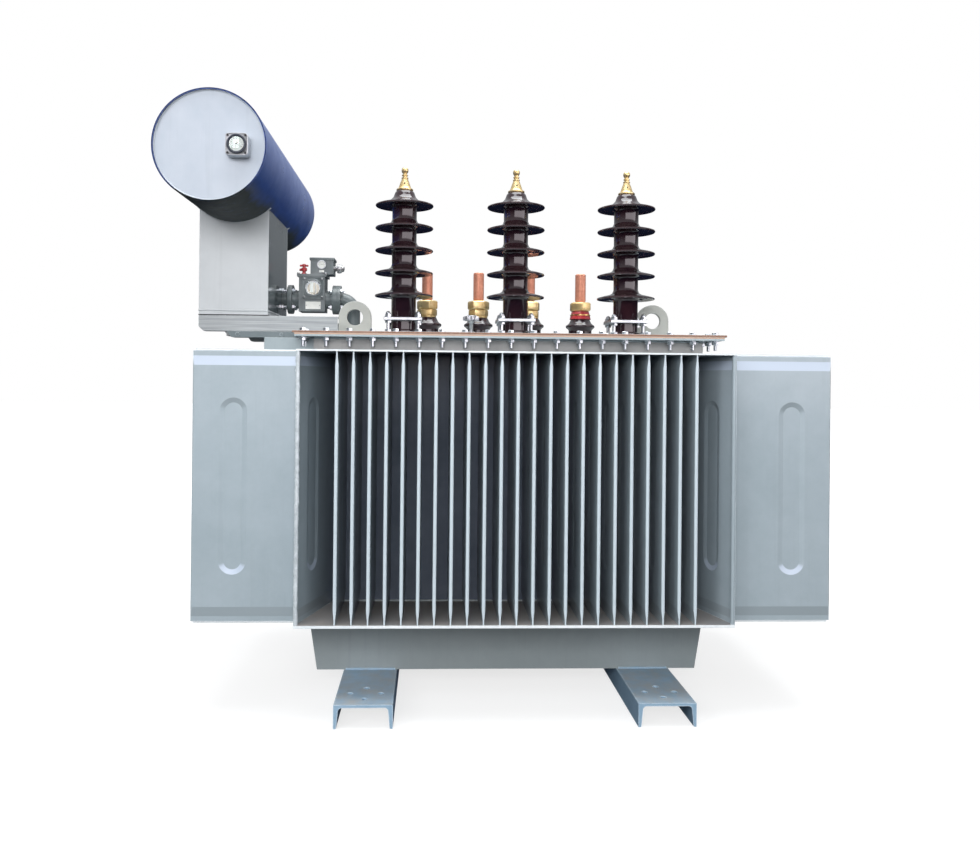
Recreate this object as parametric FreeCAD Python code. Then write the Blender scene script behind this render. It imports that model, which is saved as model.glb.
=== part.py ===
import FreeCAD, Part
import os
from math import atan2, cos, degrees, hypot, radians, sqrt

# Oil-filled power transformer with a corrugated tank, a conservator on a side pedestal,
# three high-voltage bushings and four low-voltage terminals.
# Millimetres. X runs along the tank, Y across it (the front is at -Y), Z is up from the ground.
# Everything is laid out about the middle of the tank and shifted once, when it is written,
# so that the part's origin is the bottom centre of its bounding box.

Vec = FreeCAD.Vector
X_AXIS = Vec(1, 0, 0)
Y_AXIS = Vec(0, 1, 0)
Z_AXIS = Vec(0, 0, 1)

# ---------------------------------------------------------------- driving dimensions

# Base channels, a hot-rolled 160 x 65 section laid open side down
channel_width = 160.0
channel_height = 65.0
channel_web = 7.5
channel_flange = 10.5
channel_spacing = 826.0        # centre to centre
channel_overhang = 25.0        # past the fin tips at each end
channel_hole_radius = 8.5
channel_hole_circle = 85.0     # circle through the four holes of one end
channel_hole_inset = 88.0      # middle of the hole group to the channel's end

# Tank
tank_length = 1210.0
tank_width = 440.0
bottom_box_height = 198.0
bottom_box_taper = 31.0        # how far each end leans in by the time it reaches the channels
rim_inset = 10.0               # rim wall inside the tank wall
rim_height = 46.0
flange_reach = 57.0            # cover, gasket and flange past the rim wall
flange_thickness = 6.0
gasket_thickness = 4.0
cover_thickness = 7.0
cover_overhang = 7.0           # cover past the flange and gasket at each end

# Cooling fins
fin_pitch = 45.0
fin_thickness = 10.0
fin_pinched = 4.0              # thickness of the lip where the fin is pressed shut
fin_lip_height = 14.0
fin_slope_height = 26.0        # from the lip to the full thickness
long_fin_height = 743.0
long_fin_depth = 268.0
long_plate_bottom = 8.0
side_fin_depth = 290.0
side_plate_bottom = 5.0
plate_top = 5.0
long_plate_lip = 3.0           # plates past the tips of the long banks
side_plate_inset = 6.0         # side plates short of the fin tips
side_fin_setback = 58.0        # first side fin behind the tips of the long bank
corner_root = 75.0             # root of the slanted corner fin, in from the tank's end
corner_gap = 35.0              # from that root to the first fin of the long bank
corner_wall = 5.0
groove_width = 76.0
groove_height = 488.0
groove_depth = 3.0
groove_slope = 14.0            # width of its sloping edge
groove_from_tip = 112.0        # centre of the groove to the fin's tip

# Lifting lugs
lug_spacing = 978.0
lug_radius = 53.0
lug_hole_radius = 26.0
lug_hole_height = 58.0
lug_thickness = 18.0

# High-voltage bushings
hv_count = 3
hv_spacing = 352.0
hv_shift = 24.0                # middle bushing from the middle of the tank
hv_from_middle = 110.0         # towards the front
hv_height = 451.0
hv_body_radius = 38.5
hv_neck_radius = 20.0
hv_shed_radius = 91.0
hv_shed_count = 5
hv_first_shed = 117.0          # rim of the lowest shed above the cover
hv_shed_pitch = 71.0
hv_shed_rim = 5.0
hv_shed_slope = 14.0           # rise of the shed's top from rim to body
hv_shed_hollow = 6.0           # rise of the shed's underside
hv_clamp_size = 118.0
hv_clamp_thickness = 10.0
hv_clamp_height = 40.0
hv_foot_radius = 46.0
hv_foot_height = 12.0
hv_terminal_height = 74.0
hv_terminal_radius = 25.0
seat_gap = 0.3                 # left round a body that stands in a hole or a ring

# Low-voltage terminals
lv_count = 4
lv_spacing = 174.5
lv_shift = 6.5
lv_from_middle = 110.0         # towards the back
lv_stud_radius = 18.0
lv_stud_height = 223.0
lv_nut_flats = 65.0
lv_nut_height = 30.0
lv_collar_flats = 60.0
lv_collar_height = 28.0
lv_skirt_height = 68.0
lv_skirt_radius = 49.0
lv_skirt_neck = 38.0
lv_skirt_rim_height = 46.0
neutral_collar_top = 30.0      # radii of the painted collar on the last terminal
neutral_collar_bottom = 36.0

# Filler plug with its star knob
knob_x = -108.0
knob_y = 40.0
knob_radius = 28.0
knob_height = 70.0
knob_thickness = 16.0
knob_stem_radius = 6.0

# Conservator
conservator_from_tank = 239.0    # middle of the drum to the tank's end
conservator_z = 1568.0
conservator_radius = 154.0
conservator_length = 980.0
conservator_wall = 4.0
conservator_end_inset = 8.0
gauge_size = 60.0
gauge_depth = 42.0
gauge_offset = 80.0
gauge_drop = 5.0               # below the drum's axis

# Pedestal and platform
pedestal_width = 209.0
pedestal_depth = 350.0
pedestal_plate = 6.0
pedestal_foot_thickness = 14.0
beam_height = 48.0
beam_depth = 37.0
beam_wall = 5.0
beam_on_cover = 78.0           # beam's right end, in from the tank's end
beam_chamfer = 14.0
arm_past_drum = 20.0           # arm's left end past the middle of the drum
arm_width = 50.0
arm_height = 18.0
arm_chamfer = 14.0
block_past_cover = 98.0        # support block's left face past the cover

# Gas relay and its pipes
relay_y = 100.0
relay_axis_height = 123.0      # above the cover
relay_flange_radius = 48.5
relay_flange_thickness = 15.0
relay_flange_gap = 133.0       # between the inner faces of its two flanges
relay_from_drum = 124.0        # middle of the drum to the relay's left flange
relay_body_width = 86.0
relay_body_depth = 80.0
relay_body_low = 42.0          # body below and above the pipe axis
relay_body_high = 82.0
relay_neck_radius = 30.0
relay_lip = 6.0
relay_lip_thickness = 8.0
relay_head_width = 76.0
relay_head_depth = 70.0
relay_head_height = 56.0
relay_head_shift = 32.0
pipe_radius = 24.0
pipe_bend = 40.0
pipe_flange_thickness = 12.0
pipe_foot_radius = 34.0
pipe_foot_thickness = 10.0

# ---------------------------------------------------------------- levels and edges

channel_length = tank_width + 2 * (long_fin_depth + channel_overhang)
plate_base = channel_height + bottom_box_height
long_fin_base = plate_base + long_plate_bottom
side_fin_base = plate_base + side_plate_bottom
fin_top = long_fin_base + long_fin_height
rim_base = fin_top + plate_top
flange_base = rim_base + rim_height
gasket_base = flange_base + flange_thickness
cover_base = gasket_base + gasket_thickness
cover_top = cover_base + cover_thickness

half_length = tank_length / 2
half_width = tank_width / 2
rim_x = half_length - rim_inset
rim_y = half_width - rim_inset
cover_x = rim_x + flange_reach
cover_y = rim_y + flange_reach
long_tip = half_width + long_fin_depth
side_tip = half_length + side_fin_depth

conservator_x = -(half_length + conservator_from_tank)
beam_left = conservator_x - pedestal_width / 2
beam_right = beam_on_cover - half_length
arm_left = conservator_x - arm_past_drum
block_left = -(cover_x + block_past_cover)
relay_flange_left = conservator_x + relay_from_drum
platform_base = cover_top
platform_top = platform_base + beam_height
pedestal_base = platform_top + pedestal_foot_thickness

left_reach = min(conservator_x - conservator_radius, -side_tip)
right_reach = side_tip
frame_shift = Vec(-(left_reach + right_reach) / 2, 0, 0)


# ---------------------------------------------------------------- shape helpers

def block(x0, x1, y0, y1, z0, z1):
    """Box between two corners."""
    return Part.makeBox(x1 - x0, y1 - y0, z1 - z0, Vec(x0, y0, z0))


def centred_block(x, y, z, width, depth, height):
    """Box centred on x, y and standing on z."""
    return block(x - width / 2, x + width / 2, y - depth / 2, y + depth / 2, z, z + height)


def prism(points, direction):
    """Solid swept from a closed outline of points."""
    outline = Part.makePolygon(points + points[:1])
    return Part.Face(outline).extrude(direction)


def rod(x, y, z, radius, length, axis=Z_AXIS):
    """Round bar that starts at x, y, z."""
    return Part.makeCylinder(radius, length, Vec(x, y, z), axis)


def hexagon(x, y, z, flats, height):
    """Hexagonal nut body, flats facing +X and -X."""
    corner = flats / 2 / cos(radians(30))
    start = Vec(0, corner, 0)
    points = []
    for step in range(6):
        turn = FreeCAD.Rotation(Z_AXIS, 60 * step)
        points.append(turn.multVec(start) + Vec(x, y, z))
    return prism(points, Vec(0, 0, height))


def turned(profile, x, y, z):
    """Solid of revolution about a vertical axis, from (radius, height) points."""
    points = [Vec(radius, 0, height) for radius, height in profile]
    face = Part.Face(Part.makePolygon(points + points[:1]))
    solid = face.revolve(Vec(0, 0, 0), Z_AXIS, 360)
    solid.translate(Vec(x, y, z))
    return solid


def mirrored(shape, normal):
    """Copy on the other side of the tank."""
    return shape.mirror(Vec(0, 0, 0), normal)


def spread(count, spacing, middle=0.0):
    """Evenly spaced places about a middle."""
    return [middle + (index - (count - 1) / 2) * spacing for index in range(count)]


# ---------------------------------------------------------------- base and tank

def base_channel(x):
    """Channel along Y, web on top, with a diamond of four holes near each end."""
    start = -channel_length / 2
    half = channel_width / 2
    body = block(x - half, x + half, start, -start, 0, channel_height)
    inner = half - channel_flange
    hollow = block(x - inner, x + inner, start, -start, 0, channel_height - channel_web)
    body = body.cut(hollow)
    web_base = channel_height - channel_web
    circle = channel_hole_circle / 2
    for end in (-1, 1):
        y = end * (channel_length / 2 - channel_hole_inset)
        for dx, dy in ((circle, 0), (-circle, 0), (0, circle), (0, -circle)):
            body = body.cut(rod(x + dx, y + dy, web_base, channel_hole_radius, channel_web))
    return body


def bottom_box():
    """Closed lower part of the tank, its ends leaning in towards the channels."""
    low = half_length - bottom_box_taper
    points = [
        Vec(-low, -half_width, channel_height),
        Vec(low, -half_width, channel_height),
        Vec(half_length, -half_width, plate_base),
        Vec(-half_length, -half_width, plate_base),
    ]
    return prism(points, Vec(0, tank_width, 0))


def tank_body():
    """Body behind the fins, from the fin plates to the rim."""
    return block(-half_length, half_length, -half_width, half_width, plate_base, rim_base)


def rim_wall():
    return block(-rim_x, rim_x, -rim_y, rim_y, rim_base, flange_base)


def cover_sheet(base, thickness, overhang=0.0):
    """One layer of the bolted joint, ending an overhang short of the cover's ends."""
    reach = cover_x - overhang
    return block(-reach, reach, -cover_y, cover_y, base, base + thickness)


# ---------------------------------------------------------------- cooling fins

def fin(depth, height):
    """One fin: root at the origin, reaching to -Y, standing on z = 0."""
    half = fin_thickness / 2
    lip = fin_pinched / 2
    full = fin_lip_height + fin_slope_height
    heights = [
        (lip, 0),
        (lip, fin_lip_height),
        (half, full),
        (half, height - full),
        (lip, height - fin_lip_height),
        (lip, height),
    ]
    side = [Vec(x, 0, z) for x, z in heights]
    side += [Vec(-x, 0, z) for x, z in reversed(heights)]
    plate = prism(side, Vec(0, -depth, 0))
    outline = block(-half, half, half - depth, 0, 0, height)
    outline = outline.fuse(rod(0, half - depth, 0, half, height))
    plate = plate.common(outline.removeSplitter())
    y = groove_from_tip - depth
    return plate.cut(groove(half, y, height)).cut(groove(-half, y, height))


def oval(x, y, height, width, length):
    """Upright oval wire in the plane at x, centred at half the fin's height."""
    radius = width / 2
    low = (height - length) / 2 + radius
    high = (height + length) / 2 - radius
    corners = [Vec(x, y - radius, low), Vec(x, y - radius, high),
               Vec(x, y + radius, high), Vec(x, y + radius, low)]
    top = Part.Arc(corners[1], Vec(x, y, high + radius), corners[2])
    bottom = Part.Arc(corners[3], Vec(x, y, low - radius), corners[0])
    edges = [Part.makeLine(corners[0], corners[1]), top.toShape(),
             Part.makeLine(corners[2], corners[3]), bottom.toShape()]
    return Part.Wire(edges)


def groove(face, y, height):
    """Long oval with sloping edges, pressed into the fin face that lies at x = face."""
    floor = face - groove_depth if face > 0 else face + groove_depth
    above = 2 * face - floor
    inner = groove_width - 2 * groove_slope
    outer = groove_width + 2 * groove_slope
    inner_length = groove_height - 2 * groove_slope
    outer_length = groove_height + 2 * groove_slope
    wires = [oval(floor, y, height, inner, inner_length),
             oval(above, y, height, outer, outer_length)]
    return Part.makeLoft(wires, True, True)


def fin_bank(pattern, wall, base, span, turn):
    """Row of fins along a wall, turned about Z to face its side of the tank."""
    gaps = round(span / fin_pitch)
    fins = []
    for x in spread(gaps + 1, span / gaps):
        copy = pattern.copy()
        copy.translate(Vec(x, -wall, base))
        copy.rotate(Vec(0, 0, 0), Z_AXIS, turn)
        fins.append(copy)
    return fins


def long_bank(turn):
    pattern = fin(long_fin_depth, long_fin_height)
    span = tank_length - 2 * (corner_root + corner_gap)
    return fin_bank(pattern, half_width, long_fin_base, span, turn)


def side_bank(turn):
    pattern = fin(side_fin_depth, fin_top - side_fin_base)
    span = 2 * (long_tip - side_fin_setback)
    return fin_bank(pattern, half_length, side_fin_base, span, turn)


corner_lean = degrees(atan2(corner_root, long_fin_depth))


def lean_outwards(shape):
    """Turn a corner piece about the root of the slanted fin and set it in its place."""
    shape.rotate(Vec(0, 0, 0), Z_AXIS, corner_lean)
    shape.translate(Vec(half_length - corner_root, -half_width, long_fin_base))
    return shape


def corner_fin():
    """Slanted fin at the right end of the front bank, its tip at the tank's end."""
    leaning = lean_outwards(fin(hypot(corner_root, long_fin_depth), long_fin_height))
    outside = block(0, half_length, -long_tip, -half_width, long_fin_base, fin_top)
    return leaning.common(outside)


def corner_wall_plate():
    """End wall of the corner chamber, from the tank to the back of the slanted fin."""
    plate = block(half_length - corner_wall, half_length, -long_tip, -half_width,
                  long_fin_base, fin_top)
    inside = block(-tank_length, fin_thickness / 2, -2 * long_fin_depth, long_fin_depth,
                   0, long_fin_height)
    return plate.cut(lean_outwards(inside))


def both_ends(shape):
    """A corner piece at the front and its mirror image at the back."""
    return [shape, mirrored(shape, Y_AXIS)]


def long_plates():
    """Plates that close the front bank below and above."""
    front = -long_tip - long_plate_lip
    low = block(-half_length, half_length, front, -half_width, plate_base, long_fin_base)
    high = block(-half_length, half_length, front, -half_width, fin_top, rim_base)
    return [low, high]


def side_plates():
    """Plates that close the right bank below and above."""
    reach = side_tip - side_plate_inset
    y = long_tip - side_fin_setback
    low = block(half_length, reach, -y, y, plate_base, side_fin_base)
    high = block(half_length, reach, -y, y, fin_top, rim_base)
    return [low, high]


# ---------------------------------------------------------------- cover fittings

def lifting_lug(x):
    """Eye plate that stands on the cover, its hole along Y."""
    start = -lug_thickness / 2
    z = cover_top + lug_hole_height
    plate = block(x - lug_radius, x + lug_radius, start, -start, cover_top, z)
    plate = plate.fuse(rod(x, start, z, lug_radius, lug_thickness, Y_AXIS))
    hole = rod(x, start, z, lug_hole_radius, lug_thickness, Y_AXIS)
    return plate.removeSplitter().cut(hole)


def hv_porcelain(x):
    """Insulator turned in one piece: foot, body, sheds and a bell-shaped top."""
    profile = [(0, 0), (hv_foot_radius, 0), (hv_foot_radius, hv_foot_height - 4)]
    profile.append((hv_body_radius, hv_foot_height))
    for index in range(hv_shed_count - 1):
        rim = hv_first_shed + index * hv_shed_pitch
        profile += [
            (hv_body_radius, rim + hv_shed_hollow - 4),
            (hv_body_radius + 5, rim + hv_shed_hollow),
            (hv_shed_radius - 4, rim - hv_shed_rim / 2),
            (hv_shed_radius - 1, rim - hv_shed_rim / 3),
            (hv_shed_radius, rim),
            (hv_shed_radius - 2, rim + hv_shed_rim / 2),
            (hv_body_radius + 8, rim + hv_shed_slope),
            (hv_body_radius, rim + hv_shed_slope + 6),
        ]
    rim = hv_first_shed + (hv_shed_count - 1) * hv_shed_pitch
    rise = hv_height - rim
    profile += [
        (hv_body_radius, rim + hv_shed_hollow - 4),
        (hv_body_radius + 5, rim + hv_shed_hollow),
        (hv_shed_radius - 4, rim - hv_shed_rim / 2),
        (hv_shed_radius, rim),
        (hv_shed_radius - 2, rim + hv_shed_rim / 2),
    ]
    bell_steps = 6
    for step in range(1, bell_steps + 1):
        share = step / bell_steps
        radius = hv_neck_radius + (hv_shed_radius - hv_neck_radius) * (1 - share) ** 2
        profile.append((radius, rim + hv_shed_rim / 2 + (rise - hv_shed_rim / 2) * share))
    profile.append((0, hv_height))
    return turned(profile, x, -hv_from_middle, cover_top)


def hv_clamp(x):
    """Square plate round the foot of a bushing."""
    z = cover_top + hv_clamp_height
    y = -hv_from_middle
    plate = centred_block(x, y, z, hv_clamp_size, hv_clamp_size, hv_clamp_thickness)
    hole = rod(x, y, z, hv_body_radius + seat_gap, hv_clamp_thickness)
    return plate.cut(hole)


def hv_terminal(x):
    """Brass cap with a waisted stud and a round head."""
    profile = [
        (0, 0),
        (hv_terminal_radius, 0),
        (hv_terminal_radius, 7),
        (19, 9),
        (13, 26),
        (9, 36),
        (9, 41),
        (11, 43),
        (11, 50),
        (7, 53),
        (7, 57),
        (10, 60),
        (11, 66),
        (8, hv_terminal_height - 2),
        (0, hv_terminal_height),
    ]
    return turned(profile, x, -hv_from_middle, cover_top + hv_height)


def lv_skirt(x):
    """Short flared insulator under a low-voltage terminal."""
    rim = lv_skirt_rim_height
    profile = [
        (0, 0),
        (lv_skirt_neck, 0),
        (lv_skirt_neck, rim - 5),
        (lv_skirt_radius - 2, rim - 4),
        (lv_skirt_radius, rim),
        (lv_skirt_radius - 3, rim + 3),
        (lv_skirt_neck + 2, lv_skirt_height - 5),
        (lv_skirt_neck, lv_skirt_height),
        (0, lv_skirt_height),
    ]
    return turned(profile, x, lv_from_middle, cover_top)


def lv_collar(x):
    """Brass collar: a round washer with a hexagon on it."""
    washer = 6.0
    z = cover_top + lv_skirt_height
    ring = rod(x, lv_from_middle, z, lv_collar_flats / 2, washer)
    return ring.fuse(hexagon(x, lv_from_middle, z + washer, lv_collar_flats,
                             lv_collar_height - washer))


def neutral_collar(x):
    """Painted conical collar of the neutral terminal."""
    z = cover_top + lv_skirt_height
    return Part.makeCone(neutral_collar_bottom, neutral_collar_top, lv_collar_height,
                         Vec(x, lv_from_middle, z))


def lv_nut(x):
    z = cover_top + lv_skirt_height + lv_collar_height
    return hexagon(x, lv_from_middle, z, lv_nut_flats, lv_nut_height)


def lv_stud(x):
    """Copper stud above its nut."""
    base = lv_skirt_height + lv_collar_height + lv_nut_height
    return rod(x, lv_from_middle, cover_top + base, lv_stud_radius, lv_stud_height - base)


def filler_knob():
    stem_height = knob_height - knob_thickness
    stem = rod(knob_x, knob_y, cover_top, knob_stem_radius, stem_height)
    disc = rod(knob_x, knob_y, cover_top + stem_height, knob_radius, knob_thickness)
    return stem.fuse(disc)


# ---------------------------------------------------------------- conservator

def conservator_shell():
    start = -conservator_length / 2
    outer = rod(conservator_x, start, conservator_z, conservator_radius,
                conservator_length, Y_AXIS)
    inner = rod(conservator_x, start, conservator_z, conservator_radius - conservator_wall,
                conservator_length, Y_AXIS)
    return outer.cut(inner)


def conservator_end(side):
    """Flat disc let into the shell a little way from its rim."""
    face = conservator_length / 2 - conservator_end_inset
    start = -face if side < 0 else face - conservator_wall
    radius = conservator_radius - conservator_wall
    return rod(conservator_x, start, conservator_z, radius, conservator_wall, Y_AXIS)


def level_gauge():
    """Square housing on the front end of the conservator."""
    face = -conservator_length / 2 + conservator_end_inset
    x = conservator_x + gauge_offset
    z = conservator_z - gauge_drop
    half = gauge_size / 2
    return block(x - half, x + half, face - gauge_depth, face, z - half, z + half)


def saddle(shape):
    """Cut a pedestal plate to the underside of the conservator."""
    start = -conservator_length / 2
    return shape.cut(rod(conservator_x, start, conservator_z, conservator_radius,
                         conservator_length, Y_AXIS))


def pedestal_top():
    half = pedestal_width / 2
    return conservator_z - sqrt(conservator_radius ** 2 - half ** 2) + pedestal_plate


def pedestal_faces():
    """Front and rear plates of the pedestal."""
    half = pedestal_width / 2
    x0, x1 = conservator_x - half, conservator_x + half
    y = pedestal_depth / 2
    front = block(x0, x1, -y, pedestal_plate - y, pedestal_base, pedestal_top())
    front = saddle(front)
    return [front, mirrored(front, Y_AXIS)]


def pedestal_sides():
    """Side plates between the front and rear plates."""
    half = pedestal_width / 2
    y = pedestal_depth / 2 - pedestal_plate
    plates = []
    for edge in (conservator_x - half, conservator_x + half - pedestal_plate):
        plate = block(edge, edge + pedestal_plate, -y, y, pedestal_base, pedestal_top())
        plates.append(saddle(plate))
    return plates


def pedestal_foot():
    y = pedestal_depth / 2
    half = pedestal_width / 2
    return block(conservator_x - half, conservator_x + half, -y, y, platform_top, pedestal_base)


def platform_beam():
    """Channel along X at the front, web to the outside, its lower outer corner cut off."""
    y = -pedestal_depth / 2
    outline = [
        Vec(beam_left, y, platform_top),
        Vec(beam_left, y, platform_base + beam_chamfer),
        Vec(beam_left + beam_chamfer, y, platform_base),
        Vec(beam_right, y, platform_base),
        Vec(beam_right, y, platform_top),
    ]
    beam = prism(outline, Vec(0, beam_depth, 0))
    hollow = block(beam_left, beam_right, y + beam_wall, y + beam_depth,
                   platform_base + beam_wall, platform_top - beam_wall)
    return beam.cut(hollow)


def platform_arm():
    """Bar under the front beam, reaching from the cover's edge out to the left."""
    y = -pedestal_depth / 2
    outline = [
        Vec(arm_left, y, platform_base),
        Vec(arm_left + arm_chamfer, y, platform_base - arm_height),
        Vec(-cover_x, y, platform_base - arm_height),
        Vec(-cover_x, y, platform_base),
    ]
    return prism(outline, Vec(0, arm_width, 0))


def support_block():
    """Block that carries the arm on the side fin plate and the rim wall."""
    y = -pedestal_depth / 2
    return block(block_left, -rim_x, y, y + arm_width, rim_base, platform_base - arm_height)


# ---------------------------------------------------------------- gas relay and pipes

relay_z = cover_top + relay_axis_height
relay_left = relay_flange_left + relay_flange_thickness
relay_right = relay_left + relay_flange_gap
relay_x = (relay_left + relay_right) / 2


def relay_body():
    """Cast body between its two round flanges, with a lip for the head."""
    low = relay_z - relay_body_low
    high = relay_z + relay_body_high
    body = centred_block(relay_x, relay_y, low, relay_body_width, relay_body_depth,
                         high - low)
    body = body.fuse(rod(relay_left, relay_y, relay_z, relay_neck_radius,
                         relay_flange_gap, X_AXIS))
    lip = centred_block(relay_x, relay_y, high - relay_lip_thickness,
                        relay_body_width + 2 * relay_lip, relay_body_depth + 2 * relay_lip,
                        relay_lip_thickness)
    body = body.fuse(lip)
    for start in (relay_flange_left, relay_right):
        body = body.fuse(rod(start, relay_y, relay_z, relay_flange_radius,
                             relay_flange_thickness, X_AXIS))
    return body


def relay_head():
    z = relay_z + relay_body_high
    return centred_block(relay_x + relay_head_shift, relay_y, z,
                         relay_head_width, relay_head_depth, relay_head_height)


def pedestal_pipe():
    """Stub from the pedestal to the relay's left flange."""
    start = conservator_x + pedestal_width / 2
    return rod(start, relay_y, relay_z, pipe_radius, relay_flange_left - start, X_AXIS)


def cover_pipe():
    """Flange, bend and foot that lead from the relay's right flange to the cover."""
    start = relay_right + relay_flange_thickness
    flange = rod(start, relay_y, relay_z, relay_flange_radius, pipe_flange_thickness, X_AXIS)
    bend_start = start + pipe_flange_thickness
    leg_x = bend_start + pipe_bend
    circle = Part.Wire(Part.makeCircle(pipe_radius, Vec(bend_start, relay_y, relay_z), X_AXIS))
    bend = Part.Face(circle).revolve(Vec(bend_start, relay_y, relay_z - pipe_bend), Y_AXIS, 90)
    leg = rod(leg_x, relay_y, cover_top, pipe_radius, relay_z - pipe_bend - cover_top)
    foot = rod(leg_x, relay_y, cover_top, pipe_foot_radius, pipe_foot_thickness)
    return flange.fuse(bend).fuse(leg).fuse(foot)


# ---------------------------------------------------------------- assembly

def write(name, shapes):
    """One STEP file per named piece, in the part's frame."""
    shape = Part.makeCompound(shapes) if len(shapes) > 1 else shapes[0]
    shape = shape.copy()
    shape.translate(frame_shift)
    shape.exportStep("parts/" + name + ".step")


pieces = {}

for name, side in (("left", -1), ("right", 1)):
    pieces["base_channel_" + name] = [base_channel(side * channel_spacing / 2)]
pieces["tank_bottom_box"] = [bottom_box()]
pieces["tank_body"] = [tank_body()]

pieces["front_fins"] = long_bank(0)
pieces["rear_fins"] = long_bank(180)
pieces["right_fins"] = side_bank(90)
pieces["left_fins"] = side_bank(-90)
pieces["front_fin_plates"] = long_plates()
pieces["rear_fin_plates"] = [mirrored(plate, Y_AXIS) for plate in long_plates()]
pieces["right_fin_plates"] = side_plates()
pieces["left_fin_plates"] = [mirrored(plate, X_AXIS) for plate in side_plates()]
corner_pieces = {"corner_fins_": corner_fin(), "corner_walls_": corner_wall_plate()}
for name, shape in corner_pieces.items():
    pieces[name + "right"] = both_ends(shape)
    pieces[name + "left"] = both_ends(mirrored(shape, X_AXIS))

pieces["tank_rim"] = [rim_wall()]
pieces["rim_flange"] = [cover_sheet(flange_base, flange_thickness, cover_overhang)]
pieces["cover_gasket"] = [cover_sheet(gasket_base, gasket_thickness, cover_overhang)]
pieces["cover_plate"] = [cover_sheet(cover_base, cover_thickness)]
pieces["lifting_lugs"] = [lifting_lug(x) for x in spread(2, lug_spacing)]

hv_places = spread(hv_count, hv_spacing, hv_shift)
for number, x in enumerate(hv_places, start=1):
    pieces["hv_bushing_" + str(number)] = [hv_porcelain(x)]
pieces["hv_clamps"] = [hv_clamp(x) for x in hv_places]
pieces["hv_terminals"] = [hv_terminal(x) for x in hv_places]

lv_places = spread(lv_count, lv_spacing, lv_shift)
pieces["lv_skirts"] = [lv_skirt(x) for x in lv_places]
pieces["lv_collars"] = [lv_collar(x) for x in lv_places[:-1]]
pieces["neutral_collar"] = [neutral_collar(lv_places[-1])]
pieces["lv_nuts"] = [lv_nut(x) for x in lv_places]
pieces["lv_studs"] = [lv_stud(x) for x in lv_places]
pieces["filler_knob"] = [filler_knob()]

pieces["conservator_shell"] = [conservator_shell()]
pieces["conservator_ends"] = [conservator_end(side) for side in (-1, 1)]
pieces["level_gauge"] = [level_gauge()]
pieces["pedestal_faces"] = pedestal_faces()
pieces["pedestal_sides"] = pedestal_sides()
pieces["pedestal_foot"] = [pedestal_foot()]
pieces["platform_beams"] = [platform_beam(), mirrored(platform_beam(), Y_AXIS)]
pieces["platform_arms"] = [platform_arm(), mirrored(platform_arm(), Y_AXIS)]
pieces["support_blocks"] = [support_block(), mirrored(support_block(), Y_AXIS)]

pieces["relay_body"] = [relay_body()]
pieces["relay_head"] = [relay_head()]
pieces["relay_pipes"] = [pedestal_pipe(), cover_pipe()]

os.makedirs("parts", exist_ok=True)
for name, shapes in pieces.items():
    write(name, shapes)
    volume = sum(shape.Volume for shape in shapes)
    print(name, len(shapes), "solids", round(volume / 1e6, 3), "dm3")
print("nodes", len(pieces))
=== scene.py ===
# %% [markdown]
# # Power transformer with a side conservator
# This lesson dresses a finished CAD model of an oil-filled power transformer. The CAD pieces are
# loaded as a fixed frame: they are never moved and their meshes are never changed. They get
# paint, metal and porcelain made from nodes, and the small parts that a CAD model leaves out,
# such as bolts, welds, dials and cocks, are modelled here by hand-style operators.
# Everything is in metres. X runs along the tank, Y across it (the front is at -Y) and Z is up.

# %% Load the frame
import math
import bpy
import bmesh
from mathutils import Matrix, Vector


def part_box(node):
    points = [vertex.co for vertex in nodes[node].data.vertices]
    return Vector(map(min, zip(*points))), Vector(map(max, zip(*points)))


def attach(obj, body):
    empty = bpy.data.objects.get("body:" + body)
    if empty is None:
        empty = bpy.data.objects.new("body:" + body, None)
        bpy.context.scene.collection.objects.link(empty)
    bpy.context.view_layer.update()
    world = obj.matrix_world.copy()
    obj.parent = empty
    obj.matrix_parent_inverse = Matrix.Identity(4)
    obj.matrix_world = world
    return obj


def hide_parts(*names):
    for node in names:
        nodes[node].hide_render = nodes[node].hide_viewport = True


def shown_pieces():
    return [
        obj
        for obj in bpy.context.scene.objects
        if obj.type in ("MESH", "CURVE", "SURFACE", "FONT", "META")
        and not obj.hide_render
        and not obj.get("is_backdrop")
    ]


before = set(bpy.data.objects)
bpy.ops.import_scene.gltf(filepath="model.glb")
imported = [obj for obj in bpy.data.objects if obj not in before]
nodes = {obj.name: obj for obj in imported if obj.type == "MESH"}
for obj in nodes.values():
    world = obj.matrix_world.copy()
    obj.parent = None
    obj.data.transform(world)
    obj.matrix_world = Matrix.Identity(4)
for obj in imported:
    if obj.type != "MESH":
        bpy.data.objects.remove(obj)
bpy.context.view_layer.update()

# %% [markdown]
# Positions come from the CAD boxes, so each fitting lands where the frame says. `low` and
# `high` give the corners of a node, `middle` its centre. Reading them once here keeps the
# later cells short and means that a change in the CAD carries through.

# %% Places read from the frame
def low(node):
    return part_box(node)[0]


def high(node):
    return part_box(node)[1]


def middle(node):
    return (low(node) + high(node)) / 2


tank_x = middle("tank_body").x
cover_top = high("cover_plate").z
cover_left, cover_right = low("cover_plate").x, high("cover_plate").x
cover_front, cover_back = low("cover_plate").y, high("cover_plate").y
print("tank centre x:", round(tank_x, 4), "cover top:", round(cover_top, 4))

# %% [markdown]
# ## Working helpers
# Operators act on whatever is selected, so each piece begins by deselecting everything. A piece
# is started from a primitive, shaped in edit mode, given its modifiers, and finished with its
# place applied to the mesh, so that the object itself sits at the origin. Patterns that read
# Object coordinates then stay where they are on the real thing.

# %% Helpers that start a piece
def leave_edit_mode():
    if bpy.context.object and bpy.context.object.mode != "OBJECT":
        bpy.ops.object.mode_set(mode="OBJECT")


def clear_selection():
    leave_edit_mode()
    bpy.ops.object.select_all(action="DESELECT")


def make_active(piece):
    """This piece alone in the selection, ready for an operator."""
    clear_selection()
    piece.select_set(True)
    bpy.context.view_layer.objects.active = piece


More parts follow.
